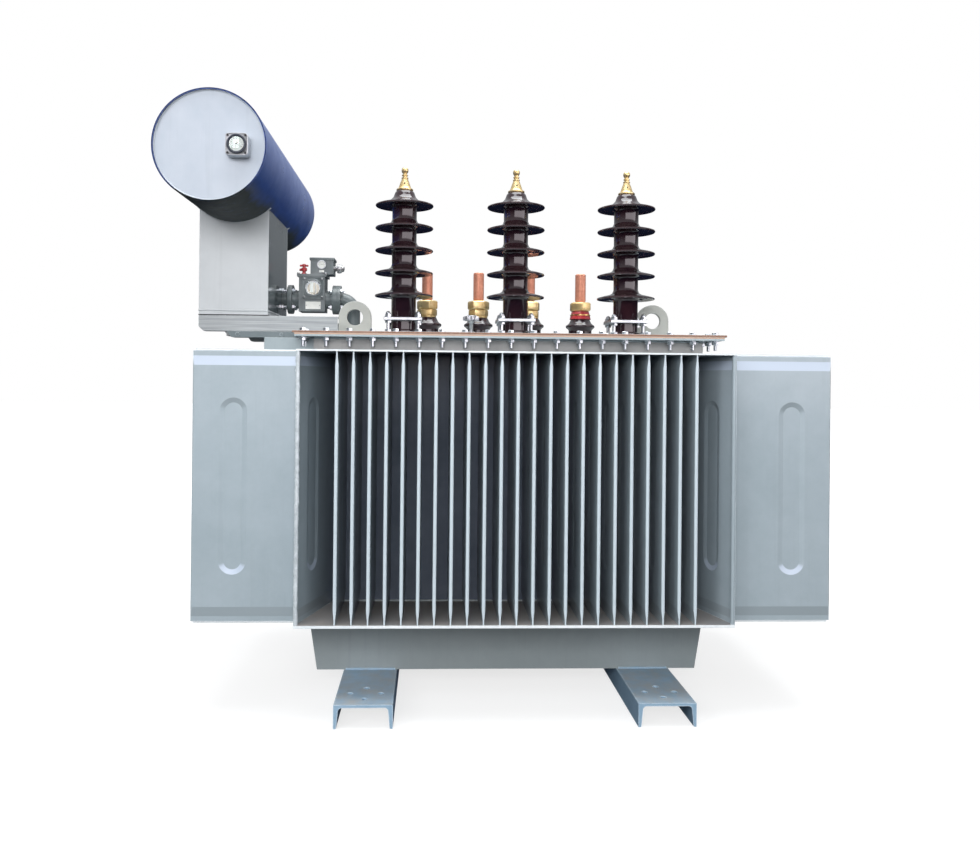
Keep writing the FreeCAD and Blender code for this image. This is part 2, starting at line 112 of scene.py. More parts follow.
def begin(name):
    """The primitive just added, named and with its scale applied, alone in the selection."""
    piece = bpy.context.object
    piece.name = name
    piece.data.name = name
    bpy.ops.object.transform_apply(location=False, rotation=False, scale=True)
    return piece


def slab(name, centre, size):
    """A box of this size, in metres, centred on a point."""
    clear_selection()
    bpy.ops.mesh.primitive_cube_add(size=1, location=centre, scale=size)
    return begin(name)


def drum(name, centre, radius, depth, sides=32, turn=(0, 0, 0)):
    """A round bar, or with few sides a hexagonal one, centred on a point."""
    clear_selection()
    bpy.ops.mesh.primitive_cylinder_add(vertices=sides, radius=radius, depth=depth,
                                        location=centre, rotation=turn)
    return begin(name)


# %% [markdown]
# Faces and edges are picked in code, by the way they look or run, because there is no mouse to
# click them with. A test gets one face or edge and says yes or no, and the shaping operators
# then act on what it picked.

# %% Helpers that select and shape
def pick(piece, test, kind="FACE"):
    """Enter edit mode with only the faces or edges that pass the test selected."""
    if piece.mode != "EDIT":
        bpy.ops.object.mode_set(mode="EDIT")
    bpy.context.tool_settings.mesh_select_mode = (False, kind == "EDGE", kind == "FACE")
    bpy.ops.mesh.select_all(action="DESELECT")
    mesh = bmesh.from_edit_mesh(piece.data)
    for part in (mesh.faces if kind == "FACE" else mesh.edges):
        if test(part):
            part.select_set(True)
    mesh.select_flush_mode()
    bmesh.update_edit_mesh(piece.data)


def facing(axis, share=0.9):
    """A test for faces that look along an axis."""
    axis = Vector(axis).normalized()
    return lambda face: face.normal.dot(axis) > share


def running(axis):
    """A test for edges that run along an axis."""
    axis = Vector(axis)
    return lambda edge: abs((edge.verts[0].co - edge.verts[1].co).normalized().dot(axis)) > 0.9


def inset(width, depth=0.0):
    bpy.ops.mesh.inset(thickness=width, depth=depth)


def push(along):
    bpy.ops.mesh.extrude_region_move(TRANSFORM_OT_translate={"value": along})


def shrink(share, centre):
    """Scale the selection about a point, the same along every axis or by three shares."""
    shares = share if isinstance(share, tuple) else (share,) * 3
    bpy.ops.transform.resize(value=shares, center_override=centre)


# %% [markdown]
# A finished piece has its sharp edges rolled over, since real sheet and castings never have a
# razor edge. `copy_to` repeats a piece, `join_all` makes one of many, and `lathe` spins a half
# outline. A spin can leave a shell inside out, so its normals are worked out again.

# %% Helpers that finish a piece
def add_bevel(piece, width, segments=2, angle=35):
    bevel = piece.modifiers.new("soft_edges", "BEVEL")
    bevel.width = width
    bevel.segments = segments
    bevel.limit_method = "ANGLE"
    bevel.angle_limit = math.radians(angle)
    bevel.harden_normals = False
    bpy.ops.object.modifier_apply(modifier=bevel.name)


def finish_piece(piece, bevel=0.0, segments=2, smooth=35):
    """Leave edit mode, soften the edges, smooth the shading and apply the place."""
    make_active(piece)
    if bevel:
        add_bevel(piece, bevel, segments)
    bpy.ops.object.shade_smooth_by_angle(angle=math.radians(smooth))
    bpy.ops.object.transform_apply(location=True, rotation=True, scale=True)
    return piece


def copy_to(piece, offset, turn=None, about=None):
    """A copy with its own mesh, turned about a point and then moved."""
    copy = piece.copy()
    copy.data = piece.data.copy()
    bpy.context.collection.objects.link(copy)
    moved = Matrix.Translation(offset)
    if turn is not None:
        centre = Matrix.Translation(about)
        moved = moved @ centre @ turn @ centre.inverted()
    copy.data.transform(moved)
    return copy


def join_all(pieces, name):
    """One piece from several."""
    clear_selection()
    for part in pieces:
        part.select_set(True)
    bpy.context.view_layer.objects.active = pieces[0]
    if len(pieces) > 1:
        bpy.ops.object.join()
    whole = bpy.context.object
    whole.name = name
    whole.data.name = name
    return whole


def turned_about(piece, centre, angle, axis="Y"):
    """The piece, with its mesh turned about a point."""
    piece.data.transform(Matrix.Translation(centre) @ Matrix.Rotation(angle, 4, axis)
                         @ Matrix.Translation(-Vector(centre)))
    return piece


def empty_piece(name):
    """A piece in edit mode with no points yet, and the mesh to draw them in."""
    clear_selection()
    bpy.ops.mesh.primitive_plane_add(size=1, location=(0, 0, 0))
    piece = begin(name)
    bpy.ops.object.mode_set(mode="EDIT")
    mesh = bmesh.from_edit_mesh(piece.data)
    bmesh.ops.delete(mesh, geom=list(mesh.verts), context="VERTS")
    return piece, mesh


def lathe(name, profile, centre, steps=48, axis="Z"):
    """A turned piece: its half outline of (radius, height) is spun about an upright axis."""
    piece, mesh = empty_piece(name)
    line = [mesh.verts.new((r, 0, z)) for r, z in profile]
    for a, b in zip(line, line[1:]):
        mesh.edges.new((a, b))
    for part in mesh.edges:
        part.select_set(True)
    bmesh.update_edit_mesh(piece.data)
    bpy.ops.mesh.spin(steps=steps, angle=math.tau, center=(0, 0, 0), axis=(0, 0, 1))
    bpy.ops.mesh.select_all(action="SELECT")
    bpy.ops.mesh.remove_doubles(threshold=0.00001)
    bpy.ops.mesh.normals_make_consistent(inside=False)
    bpy.ops.object.mode_set(mode="OBJECT")
    turns = {"Z": Matrix(), "X": Matrix.Rotation(math.pi / 2, 4, "Y"),
             "-Y": Matrix.Rotation(math.pi / 2, 4, "X")}
    piece.data.transform(Matrix.Translation(centre) @ turns[axis])
    return piece

# %% [markdown]
# ## Camera and studio
# The camera stands a little to the left of the middle and looks almost level, so the cover is
# seen edge on and the underside of the conservator shows. A long lens would flatten the side
# fins; this one is fairly short. A small shift frames the object without tilting the camera.

# %% Camera
eye = Vector((tank_x - 0.2382, -2.8994, 0.9364))
yaw, pitch, roll = 0.0427, 0.0047, 0.0097
lens_data = bpy.data.cameras.new("camera")
lens_data.lens = 32.5
lens_data.sensor_width = 36.0
lens_data.shift_x, lens_data.shift_y = 0.0211, -0.0552
camera = bpy.data.objects.new("camera", lens_data)
bpy.context.scene.collection.objects.link(camera)
camera.matrix_world = (Matrix.Translation(eye) @ Matrix.Rotation(-yaw, 4, "Z")
                       @ Matrix.Rotation(math.pi / 2 + pitch, 4, "X")
                       @ Matrix.Rotation(roll, 4, "Z"))
bpy.context.scene.camera = camera
print("camera at", [round(v, 3) for v in eye])

# %% [markdown]
# The floor is a large pale sheet, and the surroundings are white. Only what the camera sees
# directly is that pale: the light that falls on the object is softer and comes mostly from
# above, as under an overcast sky over dark ground, which leaves the gaps between the fins and
# the undersides dark. Reflections see a third thing: a nearly black floor, and a bright patch
# the shape of a window, which gives the glaze its highlights. Light Path tells the three
# apart, in the stage only.

# %% Floor and surroundings
bpy.context.scene.view_settings.view_transform = "Standard"
clear_selection()
bpy.ops.mesh.primitive_plane_add(size=60, location=(0, 0, 0))
floor = begin("studio_floor")
floor_paint = bpy.data.materials.new("studio_floor")
floor_paint.use_nodes = True
paper = floor_paint.node_tree
paper.nodes.clear()
paper_out = paper.nodes.new("ShaderNodeOutputMaterial")
matt, glow = paper.nodes.new("ShaderNodeBsdfDiffuse"), paper.nodes.new("ShaderNodeEmission")
dark, ray = paper.nodes.new("ShaderNodeBsdfDiffuse"), paper.nodes.new("ShaderNodeLightPath")
night, ground = paper.nodes.new("ShaderNodeEmission"), paper.nodes.new("ShaderNodeMixShader")
bright, choice = paper.nodes.new("ShaderNodeAddShader"), paper.nodes.new("ShaderNodeMixShader")
spot, reach_of = paper.nodes.new("ShaderNodeTexCoord"), paper.nodes.new("ShaderNodeVectorMath")
fade = paper.nodes.new("ShaderNodeMapRange")
reach_of.operation = "LENGTH"
fade.inputs["From Min"].default_value, fade.inputs["From Max"].default_value = 1.2, 4.5
fade.inputs["To Min"].default_value = 0.74
matt.inputs["Color"].default_value = (0.30, 0.30, 0.30, 1)
dark.inputs["Color"].default_value = (0.06, 0.063, 0.068, 1)
night.inputs["Color"].default_value = (0.010, 0.013, 0.030, 1)
for source, target in ((matt.outputs[0], bright.inputs[0]), (glow.outputs[0], bright.inputs[1]),
                       (spot.outputs["Object"], reach_of.inputs[0]),
                       (reach_of.outputs["Value"], fade.inputs["Value"]),
                       (fade.outputs["Result"], glow.inputs["Strength"]),
                       (ray.outputs["Is Camera Ray"], choice.inputs[0]),
                       (ray.outputs["Is Glossy Ray"], ground.inputs[0]),
                       (dark.outputs[0], ground.inputs[1]), (night.outputs[0], ground.inputs[2]),
                       (ground.outputs[0], choice.inputs[1]), (bright.outputs[0], choice.inputs[2]),
                       (choice.outputs[0], paper_out.inputs[0])):
    paper.links.new(source, target)
floor.data.materials.append(floor_paint)
floor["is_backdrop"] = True

world = bpy.data.worlds.new("studio")
bpy.context.scene.world = world
world.use_nodes = True
sky = world.node_tree
sky.nodes.clear()
out = sky.nodes.new("ShaderNodeOutputWorld")
seen, lit = sky.nodes.new("ShaderNodeBackground"), sky.nodes.new("ShaderNodeBackground")
path, blend = sky.nodes.new("ShaderNodeLightPath"), sky.nodes.new("ShaderNodeMixShader")
place, split = sky.nodes.new("ShaderNodeTexCoord"), sky.nodes.new("ShaderNodeSeparateXYZ")
height = sky.nodes.new("ShaderNodeMapRange")
tone = sky.nodes.new("ShaderNodeValToRGB")
height.inputs["From Min"].default_value = -1.0
tone.color_ramp.elements[0].position = 0.50
tone.color_ramp.elements[0].color = (0.10, 0.115, 0.135, 1)
tone.color_ramp.elements[1].position = 0.78
tone.color_ramp.elements[1].color = (0.93, 0.97, 1.0, 1)
seen.inputs["Color"].default_value = (1, 1, 1, 1)
seen.inputs["Strength"].default_value = 1.0
lit.inputs["Strength"].default_value = 0.62
link = sky.links.new
link(place.outputs["Generated"], split.inputs[0])
link(split.outputs["Z"], height.inputs["Value"])
link(height.outputs["Result"], tone.inputs["Fac"])


def fade_between(value, start, end):
    """1 on one side of a soft border across the sky and 0 on the other."""
    border = sky.nodes.new("ShaderNodeMapRange")
    border.interpolation_type = "SMOOTHSTEP"
    border.inputs["From Min"].default_value = start
    border.inputs["From Max"].default_value = end
    link(value, border.inputs["Value"])
    return border.outputs["Result"]


pane = fade_between(split.outputs["Y"], -0.10, -0.16)
for side, start, end in (("X", -0.34, -0.30), ("Z", 0.42, 0.36), ("Z", -0.14, -0.10)):
    both = sky.nodes.new("ShaderNodeMath")
    both.operation = "MULTIPLY"
    link(pane, both.inputs[0])
    link(fade_between(split.outputs[side], start, end), both.inputs[1])
    pane = both.outputs[0]
window_light = sky.nodes.new("ShaderNodeMix")
window_light.data_type = "RGBA"
window_light.inputs[7].default_value = (4.6, 4.3, 4.5, 1)
mirrored_pane = sky.nodes.new("ShaderNodeMath")
mirrored_pane.operation = "MULTIPLY"
link(pane, mirrored_pane.inputs[0])
not_through_glass = sky.nodes.new("ShaderNodeMath")
not_through_glass.operation = "SUBTRACT"
not_through_glass.use_clamp = True
link(path.outputs["Is Glossy Ray"], not_through_glass.inputs[0])
link(path.outputs["Is Transmission Ray"], not_through_glass.inputs[1])
link(not_through_glass.outputs[0], mirrored_pane.inputs[1])
link(mirrored_pane.outputs[0], window_light.inputs["Factor"])
link(tone.outputs["Color"], window_light.inputs[6])
link(window_light.outputs[2], lit.inputs["Color"])
link(path.outputs["Is Camera Ray"], blend.inputs[0])
link(lit.outputs[0], blend.inputs[1])
link(seen.outputs[0], blend.inputs[2])
link(blend.outputs[0], out.inputs[0])
print("surroundings ready")

# %% [markdown]
# Large soft panels stand in front, the strongest near the middle, with weaker ones behind and
# at both sides, and one hangs overhead. Only the one overhead shows in reflections, since the
# bright pane in the surroundings already gives the glaze its window-shaped highlights.

# %% Soft lights
def soft_panel(name, place, aim, size, watts, tint, mirrored=False):
    light = bpy.data.lights.new(name, "AREA")
    light.shape = "RECTANGLE"
    light.size, light.size_y = size
    light.energy = watts
    light.color = tint
    panel = bpy.data.objects.new(name, light)
    bpy.context.scene.collection.objects.link(panel)
    aim_line = Vector(aim) - Vector(place)
    panel.matrix_world = (Matrix.Translation(place)
                          @ aim_line.to_track_quat("-Z", "Y").to_matrix().to_4x4())
    panel.visible_glossy = mirrored
    return panel


soft_panel("panel_middle", (-0.6, -6.0, 2.2), (0, 0, 0.9), (3.0, 2.2), 245, (1.0, 1.0, 1.0))
soft_panel("panel_left", (-3.8, -4.2, 3.2), (0, 0, 0.8), (2.2, 2.0), 95, (0.97, 0.98, 1.0))
soft_panel("panel_right", (4.2, -5.0, 2.4), (0, 0, 0.9), (4.0, 2.0), 22, (1.0, 0.985, 0.97))
soft_panel("panel_above", (0.2, -0.4, 5.0), (0, 0, 1.0), (4.0, 3.0), 230, (0.95, 0.98, 1.0), True)
soft_panel("panel_back", (0.6, 6.0, 3.2), (0, 0, 0.8), (4.0, 2.5), 110, (0.97, 0.98, 1.0))
soft_panel("panel_side_left", (-5.5, 1.2, 1.8), (0, 0.2, 0.7), (2.5, 2.0), 45, (0.96, 0.98, 1.0))
soft_panel("panel_side_right", (5.5, 1.8, 1.4), (0, 0.2, 0.6), (2.5, 2.0), 38, (1.0, 0.99, 0.97))

# %% [markdown]
# ## Effects shared by the finishes
# Paint on plant like this is never one flat colour. It has slow changes of tone, faint vertical
# marks where rain has run, dust on whatever faces up and a brighter line where an edge is worn.
# Each effect is one shader node group, built once and then placed in a material with its own
# amounts. A group gives out masks and heights only, and each material keeps its own shader.

# %% Helpers for nodes
def add_node(tree, kind, inputs=None, **settings):
    made = tree.nodes.new("ShaderNode" + kind)
    for key, value in settings.items():
        setattr(made, key, value)
    for key, value in (inputs or {}).items():
        made.inputs[key].default_value = value
    return made


def wire(tree, source, target):
    tree.links.new(source, target)


def math_node(tree, operation, first, second=0.5, clamp=False):
    made = add_node(tree, "Math", operation=operation, use_clamp=clamp)
    for place, value in enumerate((first, second)):
        if isinstance(value, (int, float)):
            made.inputs[place].default_value = value
        else:
            wire(tree, value, made.inputs[place])
    return made.outputs[0]


def looking(tree):
    """Which way the surface looks, as X, Y and Z outputs."""
    geometry, split = add_node(tree, "NewGeometry"), add_node(tree, "SeparateXYZ")
    wire(tree, geometry.outputs["Normal"], split.inputs[0])
    return split.outputs


def lying(tree):
    """Where the surface lies, as X, Y and Z outputs."""
    place, split = add_node(tree, "TexCoord"), add_node(tree, "SeparateXYZ")
    wire(tree, place.outputs["Object"], split.inputs[0])
    return split.outputs


def stretched_place(tree, stretch):
    """Object coordinates, scaled unevenly so that a pattern runs along one way."""
    place = add_node(tree, "TexCoord")
    mapping = add_node(tree, "Mapping", {"Scale": stretch})
    wire(tree, place.outputs["Object"], mapping.inputs["Vector"])
    return mapping.outputs["Vector"]


def open_group(name, inputs, outputs):
    """An empty group with named float inputs and outputs."""
    group = bpy.data.node_groups.new(name, "ShaderNodeTree")
    for key, value in inputs.items():
        made = group.interface.new_socket(name=key, in_out="INPUT", socket_type="NodeSocketFloat")
        made.default_value = value
    for key in outputs:
        group.interface.new_socket(name=key, in_out="OUTPUT", socket_type="NodeSocketFloat")
    return group, group.nodes.new("NodeGroupInput"), group.nodes.new("NodeGroupOutput")


def use_group(tree, name, **values):
    made = tree.nodes.new("ShaderNodeGroup")
    made.node_tree = bpy.data.node_groups[name]
    for key, value in values.items():
        made.inputs[key.replace("_", " ")].default_value = value
    return made


# %% [markdown]
# `uneven_tone` adds a broad cloud and a finer one. The broad cloud is how a sprayer's passes
# overlap; the fine one is handling and light soiling.

# %% Uneven tone
tree, into, outof = open_group("uneven_tone", {"Broad": 2.5, "Fine": 22.0, "Share": 0.35}, ["Mask"])
where = stretched_place(tree, (1, 1, 1))
broad = add_node(tree, "TexNoise", {"Detail": 3.0, "Roughness": 0.55})
fine = add_node(tree, "TexNoise", {"Detail": 5.0, "Roughness": 0.65})
for cloud, key in ((broad, "Broad"), (fine, "Fine")):
    wire(tree, where, cloud.inputs["Vector"])
    wire(tree, into.outputs[key], cloud.inputs["Scale"])
both = add_node(tree, "Mix", data_type="FLOAT")
wire(tree, into.outputs["Share"], both.inputs["Factor"])
wire(tree, broad.outputs["Fac"], both.inputs[2])
wire(tree, fine.outputs["Fac"], both.inputs[3])
spread_out = add_node(tree, "MapRange", {"From Min": 0.36, "From Max": 0.64})
wire(tree, both.outputs[0], spread_out.inputs["Value"])
wire(tree, spread_out.outputs["Result"], outof.inputs["Mask"])
print("group:", tree.name)

# %% [markdown]
# `rain_marks` stretches a noise tall and thin, and keeps only its brightest streaks.

# %% Rain marks
tree, into, outof = open_group("rain_marks", {"Amount": 0.5, "Width": 1.0}, ["Mask"])
where = stretched_place(tree, (60, 60, 2.2))
streak = add_node(tree, "TexNoise", {"Detail": 4.0, "Roughness": 0.6})
wire(tree, where, streak.inputs["Vector"])
wire(tree, into.outputs["Width"], streak.inputs["Scale"])
kept = add_node(tree, "MapRange", {"From Min": 0.55, "From Max": 0.78})
wire(tree, streak.outputs["Fac"], kept.inputs["Value"])
amount = math_node(tree, "MULTIPLY", kept.outputs["Result"], into.outputs["Amount"], True)
wire(tree, amount, outof.inputs["Mask"])
print("group:", tree.name)

# %% [markdown]
# `settled_dust` is strongest on faces that look up, and patchy.

# %% Settled dust
tree, into, outof = open_group("settled_dust", {"Amount": 0.6, "Scale": 14.0}, ["Mask"])
upward = add_node(tree, "MapRange", {"From Min": 0.25, "From Max": 0.95})
wire(tree, looking(tree)["Z"], upward.inputs["Value"])
patch = add_node(tree, "TexNoise", {"Detail": 6.0, "Roughness": 0.7})
wire(tree, stretched_place(tree, (1, 1, 1)), patch.inputs["Vector"])
wire(tree, into.outputs["Scale"], patch.inputs["Scale"])
patchy = add_node(tree, "MapRange", {"From Min": 0.35, "From Max": 0.7})
wire(tree, patch.outputs["Fac"], patchy.inputs["Value"])
settled = math_node(tree, "MULTIPLY", upward.outputs["Result"], patchy.outputs["Result"])
wire(tree, math_node(tree, "MULTIPLY", settled, into.outputs["Amount"], True),
     outof.inputs["Mask"])
print("group:", tree.name)

# %% [markdown]
# `worn_edges` compares the true normal with one rounded over a small radius. They differ only
# near an edge, which makes a mask that follows every corner. A noise breaks it up.

# %% Worn edges
tree, into, outof = open_group("worn_edges", {"Radius": 0.003, "Amount": 1.0}, ["Mask"])
rounded, true_side = add_node(tree, "Bevel", samples=4), add_node(tree, "NewGeometry")
wire(tree, into.outputs["Radius"], rounded.inputs["Radius"])
compare = add_node(tree, "VectorMath", operation="DOT_PRODUCT")
wire(tree, rounded.outputs["Normal"], compare.inputs[0])
wire(tree, true_side.outputs["Normal"], compare.inputs[1])
edge = add_node(tree, "MapRange", {"From Min": 0.99, "From Max": 0.86})
wire(tree, compare.outputs["Value"], edge.inputs["Value"])
broken = add_node(tree, "TexNoise", {"Scale": 45.0, "Detail": 4.0})
wire(tree, stretched_place(tree, (1, 1, 1)), broken.inputs["Vector"])
ragged = add_node(tree, "MapRange", {"From Min": 0.3, "From Max": 0.6, "To Min": 0.35})
wire(tree, broken.outputs["Fac"], ragged.inputs["Value"])
worn = math_node(tree, "MULTIPLY", edge.outputs["Result"], ragged.outputs["Result"])
wire(tree, math_node(tree, "MULTIPLY", worn, into.outputs["Amount"], True),
     outof.inputs["Mask"])
print("group:", tree.name)

# %% [markdown]
# `spray_texture` gives the faint orange-peel height of sprayed enamel together with a slower
# waviness of thin sheet. `brush_lines` gives fine drawn lines along X, as on ground steel.

# %% Spray texture and brush lines
tree, into, outof = open_group("spray_texture", {"Peel": 260.0, "Wave": 5.0, "Waviness": 0.6},
                               ["Height"])
where = stretched_place(tree, (1, 1, 1))
peel, wave = add_node(tree, "TexNoise", {"Detail": 2.0}), add_node(tree, "TexNoise", {"Detail": 1.0})
for cloud, key in ((peel, "Peel"), (wave, "Wave")):
    wire(tree, where, cloud.inputs["Vector"])
    wire(tree, into.outputs[key], cloud.inputs["Scale"])
slow = math_node(tree, "MULTIPLY", wave.outputs["Fac"], into.outputs["Waviness"])
wire(tree, math_node(tree, "ADD", math_node(tree, "MULTIPLY", peel.outputs["Fac"], 0.04), slow),
     outof.inputs["Height"])

tree, into, outof = open_group("brush_lines", {"Fineness": 1.0}, ["Height"])
lines = add_node(tree, "TexNoise", {"Detail": 3.0, "Roughness": 0.7})
wire(tree, stretched_place(tree, (4, 300, 300)), lines.inputs["Vector"])
wire(tree, into.outputs["Fineness"], lines.inputs["Scale"])
wire(tree, lines.outputs["Fac"], outof.inputs["Height"])
print("groups:", len(bpy.data.node_groups))

# %% [markdown]
# ## Paints
# One recipe makes every enamel: a body colour that drifts towards a darker shade, rain marks, dust,
# worn edges, and a height for the sprayed surface. The amounts differ for each piece of plant, so
# the recipe is a function with its amounts as arguments. The last four of them paint light and shade
# into the colour by tilt or place, in this order: a painted reflection of the bright sky on faces
# that lean up a little, painted shade on those that lean down, painted shade on what lies close to
# the tank's wall, and a painted highlight on edges that look to the front or back.

# %% The enamel recipe
def mix_colour(tree, mask, first, second):
    """A colour mixed by a mask; each side is a colour or a socket."""
    made = add_node(tree, "Mix", data_type="RGBA")
    wire(tree, mask, made.inputs["Factor"])
    for key, value in ((6, first), (7, second)):
        if isinstance(value, tuple):
            made.inputs[key].default_value = (*value, 1)
        else:
            wire(tree, value, made.inputs[key])
    return made.outputs[2]


def start_material(name):
    made = bpy.data.materials.new(name)
    made.use_nodes = True
    tree = made.node_tree
    return made, tree, tree.nodes["Principled BSDF"]


def set_bump(tree, shader, height, strength, distance):
    bump = add_node(tree, "Bump", {"Strength": strength, "Distance": distance})
    wire(tree, height, bump.inputs["Height"])
    wire(tree, bump.outputs["Normal"], shader.inputs["Normal"])


def set_rough(tree, shader, mask, share, least):
    """A roughness that rises from its least value where the mask is bright."""
    rise = math_node(tree, "MULTIPLY", mask, share)
    wire(tree, math_node(tree, "ADD", rise, least), shader.inputs["Roughness"])


def tilt_mask(tree, start, end):
    """How far a face looks up, or down when the limits are negative, as a mask."""
    mask = add_node(tree, "MapRange", {"From Min": start, "From Max": end})
    wire(tree, looking(tree)["Z"], mask.inputs["Value"])
    return mask.outputs["Result"]


def out_from_wall(tree, reach):
    """0 on the tank's wall, rising to 1 at a distance out of it, on every side of the tank."""
    here = lying(tree)
    near, far = low("tank_body"), high("tank_body")
    past = []
    for axis, start, end in (("X", near.x, far.x), ("Y", near.y, far.y)):
        past.append(math_node(tree, "SUBTRACT", start, here[axis]))
        past.append(math_node(tree, "SUBTRACT", here[axis], end))
    furthest = past[0]
    for other in past[1:]:
        furthest = math_node(tree, "MAXIMUM", furthest, other)
    mask = add_node(tree, "MapRange", {"From Min": 0.0, "From Max": reach})
    wire(tree, furthest, mask.inputs["Value"])
    return mask.outputs["Result"]


def enamel(name, body, shade, dust=(0.42, 0.38, 0.33), bare=(0.72, 0.76, 0.78), gloss=0.38,
           dusty=0.5, marks=0.35, wear=0.7, edge=0.003, wave=0.5, broad=2.5, coat=0.15,
           painted_sky_sheen=None, shaded=None, painted_deep_shade=None, painted_tip_highlight=None):
    made, tree, shader = start_material(name)
    tone = use_group(tree, "uneven_tone", Broad=broad)
    rain = use_group(tree, "rain_marks", Amount=marks)
    fallen = use_group(tree, "settled_dust", Amount=dusty)
    worn = use_group(tree, "worn_edges", Radius=edge, Amount=wear)
    colour = mix_colour(tree, tone.outputs[0], body, shade)
    colour = mix_colour(tree, rain.outputs[0], colour, tuple(c * 0.72 for c in body))
    colour = mix_colour(tree, fallen.outputs[0], colour, dust)
    # Painted light by tilt: a painted reflection of the bright sky on faces that lean up a little,
    # and painted shade on faces that lean down.
    if painted_sky_sheen:
        colour = mix_colour(tree, tilt_mask(tree, 0.05, 0.11), colour, painted_sky_sheen)
    if shaded:
        colour = mix_colour(tree, tilt_mask(tree, -0.05, -0.11), colour, shaded)
    # Painted shade between the fins, darkest on the tank's wall and fading out over 0.21 m.
    if painted_deep_shade:
        colour = mix_colour(tree, out_from_wall(tree, 0.21), painted_deep_shade, colour)
    colour = mix_colour(tree, worn.outputs[0], colour, bare)
    # A painted highlight on faces that look to the front or back, such as the long fins' tips.
    if painted_tip_highlight:
        facing_y = looking(tree)["Y"]
        either = math_node(tree, "MULTIPLY", facing_y, facing_y)
        tip_highlight_mask = math_node(tree, "MULTIPLY", either, 2.2, True)
        colour = mix_colour(tree, tip_highlight_mask, colour, painted_tip_highlight)
    wire(tree, colour, shader.inputs["Base Color"])
    dull = math_node(tree, "MULTIPLY", tone.outputs[0], 0.12)
    dull = math_node(tree, "ADD", dull, math_node(tree, "MULTIPLY", fallen.outputs[0], 0.35))
    wire(tree, math_node(tree, "ADD", dull, gloss, True), shader.inputs["Roughness"])
    shader.inputs["Coat Weight"].default_value = coat
    shader.inputs["Coat Roughness"].default_value = 0.12
    spray = use_group(tree, "spray_texture", Waviness=wave)
    set_bump(tree, shader, spray.outputs[0], 0.35, 0.004)
    return made


# %% [markdown]
# The tank is sprayed in one pale blue-grey. Its wall between the fins gets a darker navy copy of
# that paint, as painted shade for the deep gaps. The fins are thin pressed sheet, so they get more
# waviness and more gloss than the plates, and painted light by tilt and by nearness to the wall. The
# base channels and the platform are the same family of grey, bluer and rougher, with bright scuffs
# where they have been dragged.

# %% Tank, fin and channel enamels
tank_paint = enamel("tank_enamel", (0.34, 0.39, 0.41), (0.28, 0.33, 0.35))
# The fins' colour carries painted light: a sky reflection on faces that lean up, shade on those that
# lean down, and shade close to the tank's wall.
fin_paint = enamel("fin_enamel", (0.37, 0.43, 0.47), (0.31, 0.37, 0.405), bare=(0.80, 0.86, 0.90),
                   gloss=0.28, dusty=0.25, marks=0.22, wear=0.85, edge=0.0035, wave=1.2, coat=0.35,
                   painted_sky_sheen=(0.47, 0.54, 0.64), shaded=(0.30, 0.35, 0.38),
                   painted_deep_shade=(0.050, 0.066, 0.088))
# The long fins get painted shade near the tank's wall and a painted highlight on their front and
# back tips.
enamel("long_fin_enamel", (0.37, 0.43, 0.47), (0.31, 0.37, 0.405), gloss=0.28,
       dusty=0.25, marks=0.22, wear=0.3, edge=0.0035, wave=1.2, coat=0.35,
       painted_deep_shade=(0.045, 0.060, 0.082), painted_tip_highlight=(0.56, 0.64, 0.69))
# The wall between the fins is the tank's paint, darkened to navy as painted shade for the deep gaps.
enamel("fin_wall_painted_shade", (0.19, 0.225, 0.29), (0.13, 0.16, 0.21), gloss=0.45,
       wear=0.2, dusty=0.2, marks=0.4)
enamel("rim_enamel", (0.33, 0.325, 0.32), (0.24, 0.238, 0.235), gloss=0.5, wear=0.4,
       dust=(0.26, 0.22, 0.19), dusty=0.9, marks=0.6, broad=9.0)
enamel("bottom_box_enamel", (0.28, 0.315, 0.325), (0.245, 0.28, 0.29), marks=0.25,
       gloss=0.45, wear=0.5)
channel_paint = enamel("channel_enamel", (0.30, 0.43, 0.56), (0.22, 0.34, 0.45), gloss=0.4,
                       bare=(0.62, 0.72, 0.80), wear=1.0, edge=0.005, dusty=0.7, marks=0.2)
arm_paint = enamel("arm_enamel", (0.17, 0.20, 0.21), (0.12, 0.15, 0.16), gloss=0.42,
                   bare=(0.50, 0.55, 0.58), wear=0.6, dusty=0.8)
lug_paint = enamel("lug_enamel", (0.430, 0.432, 0.398), (0.361, 0.373, 0.351), gloss=0.45, wear=0.5)
pale_paint = enamel("pale_enamel", (0.52, 0.54, 0.555), (0.46, 0.48, 0.495), gloss=0.42,
                    dusty=0.5, marks=0.3, wear=0.35, wave=0.9, broad=4.0)
# The pedestal's sides get a dark, glossy copy of its pale paint, as painted shade and a painted dark
# reflection.
enamel("pedestal_side_painted_shade", (0.088, 0.108, 0.116), (0.060, 0.076, 0.084),
       gloss=0.16, bare=(0.40, 0.44, 0.46), wear=0.6, wave=1.4, coat=0.8)
disc_paint = enamel("conservator_end_enamel", (0.46, 0.50, 0.56), (0.40, 0.445, 0.51), gloss=0.36,
                    dusty=0.3, marks=0.35, wear=0.4, wave=1.2, broad=5.0)
relay_paint = enamel("relay_enamel", (0.13, 0.155, 0.16), (0.085, 0.10, 0.105), gloss=0.33,
                     bare=(0.42, 0.45, 0.46), dust=(0.30, 0.29, 0.27), wear=0.6, edge=0.002,
                     dusty=0.5, broad=18.0)
red_paint = enamel("red_enamel", (0.42, 0.035, 0.04), (0.30, 0.02, 0.03), gloss=0.25, wear=0.4,
                   bare=(0.65, 0.25, 0.2), edge=0.0015, marks=0.1, broad=20.0)
print("enamels:", len(bpy.data.materials))

# %% [markdown]
# The cover's cut edge was never sprayed: it shows brown primer and light rust as a band between
# bright upper and lower lines. A mask of faces that look sideways picks the band out.

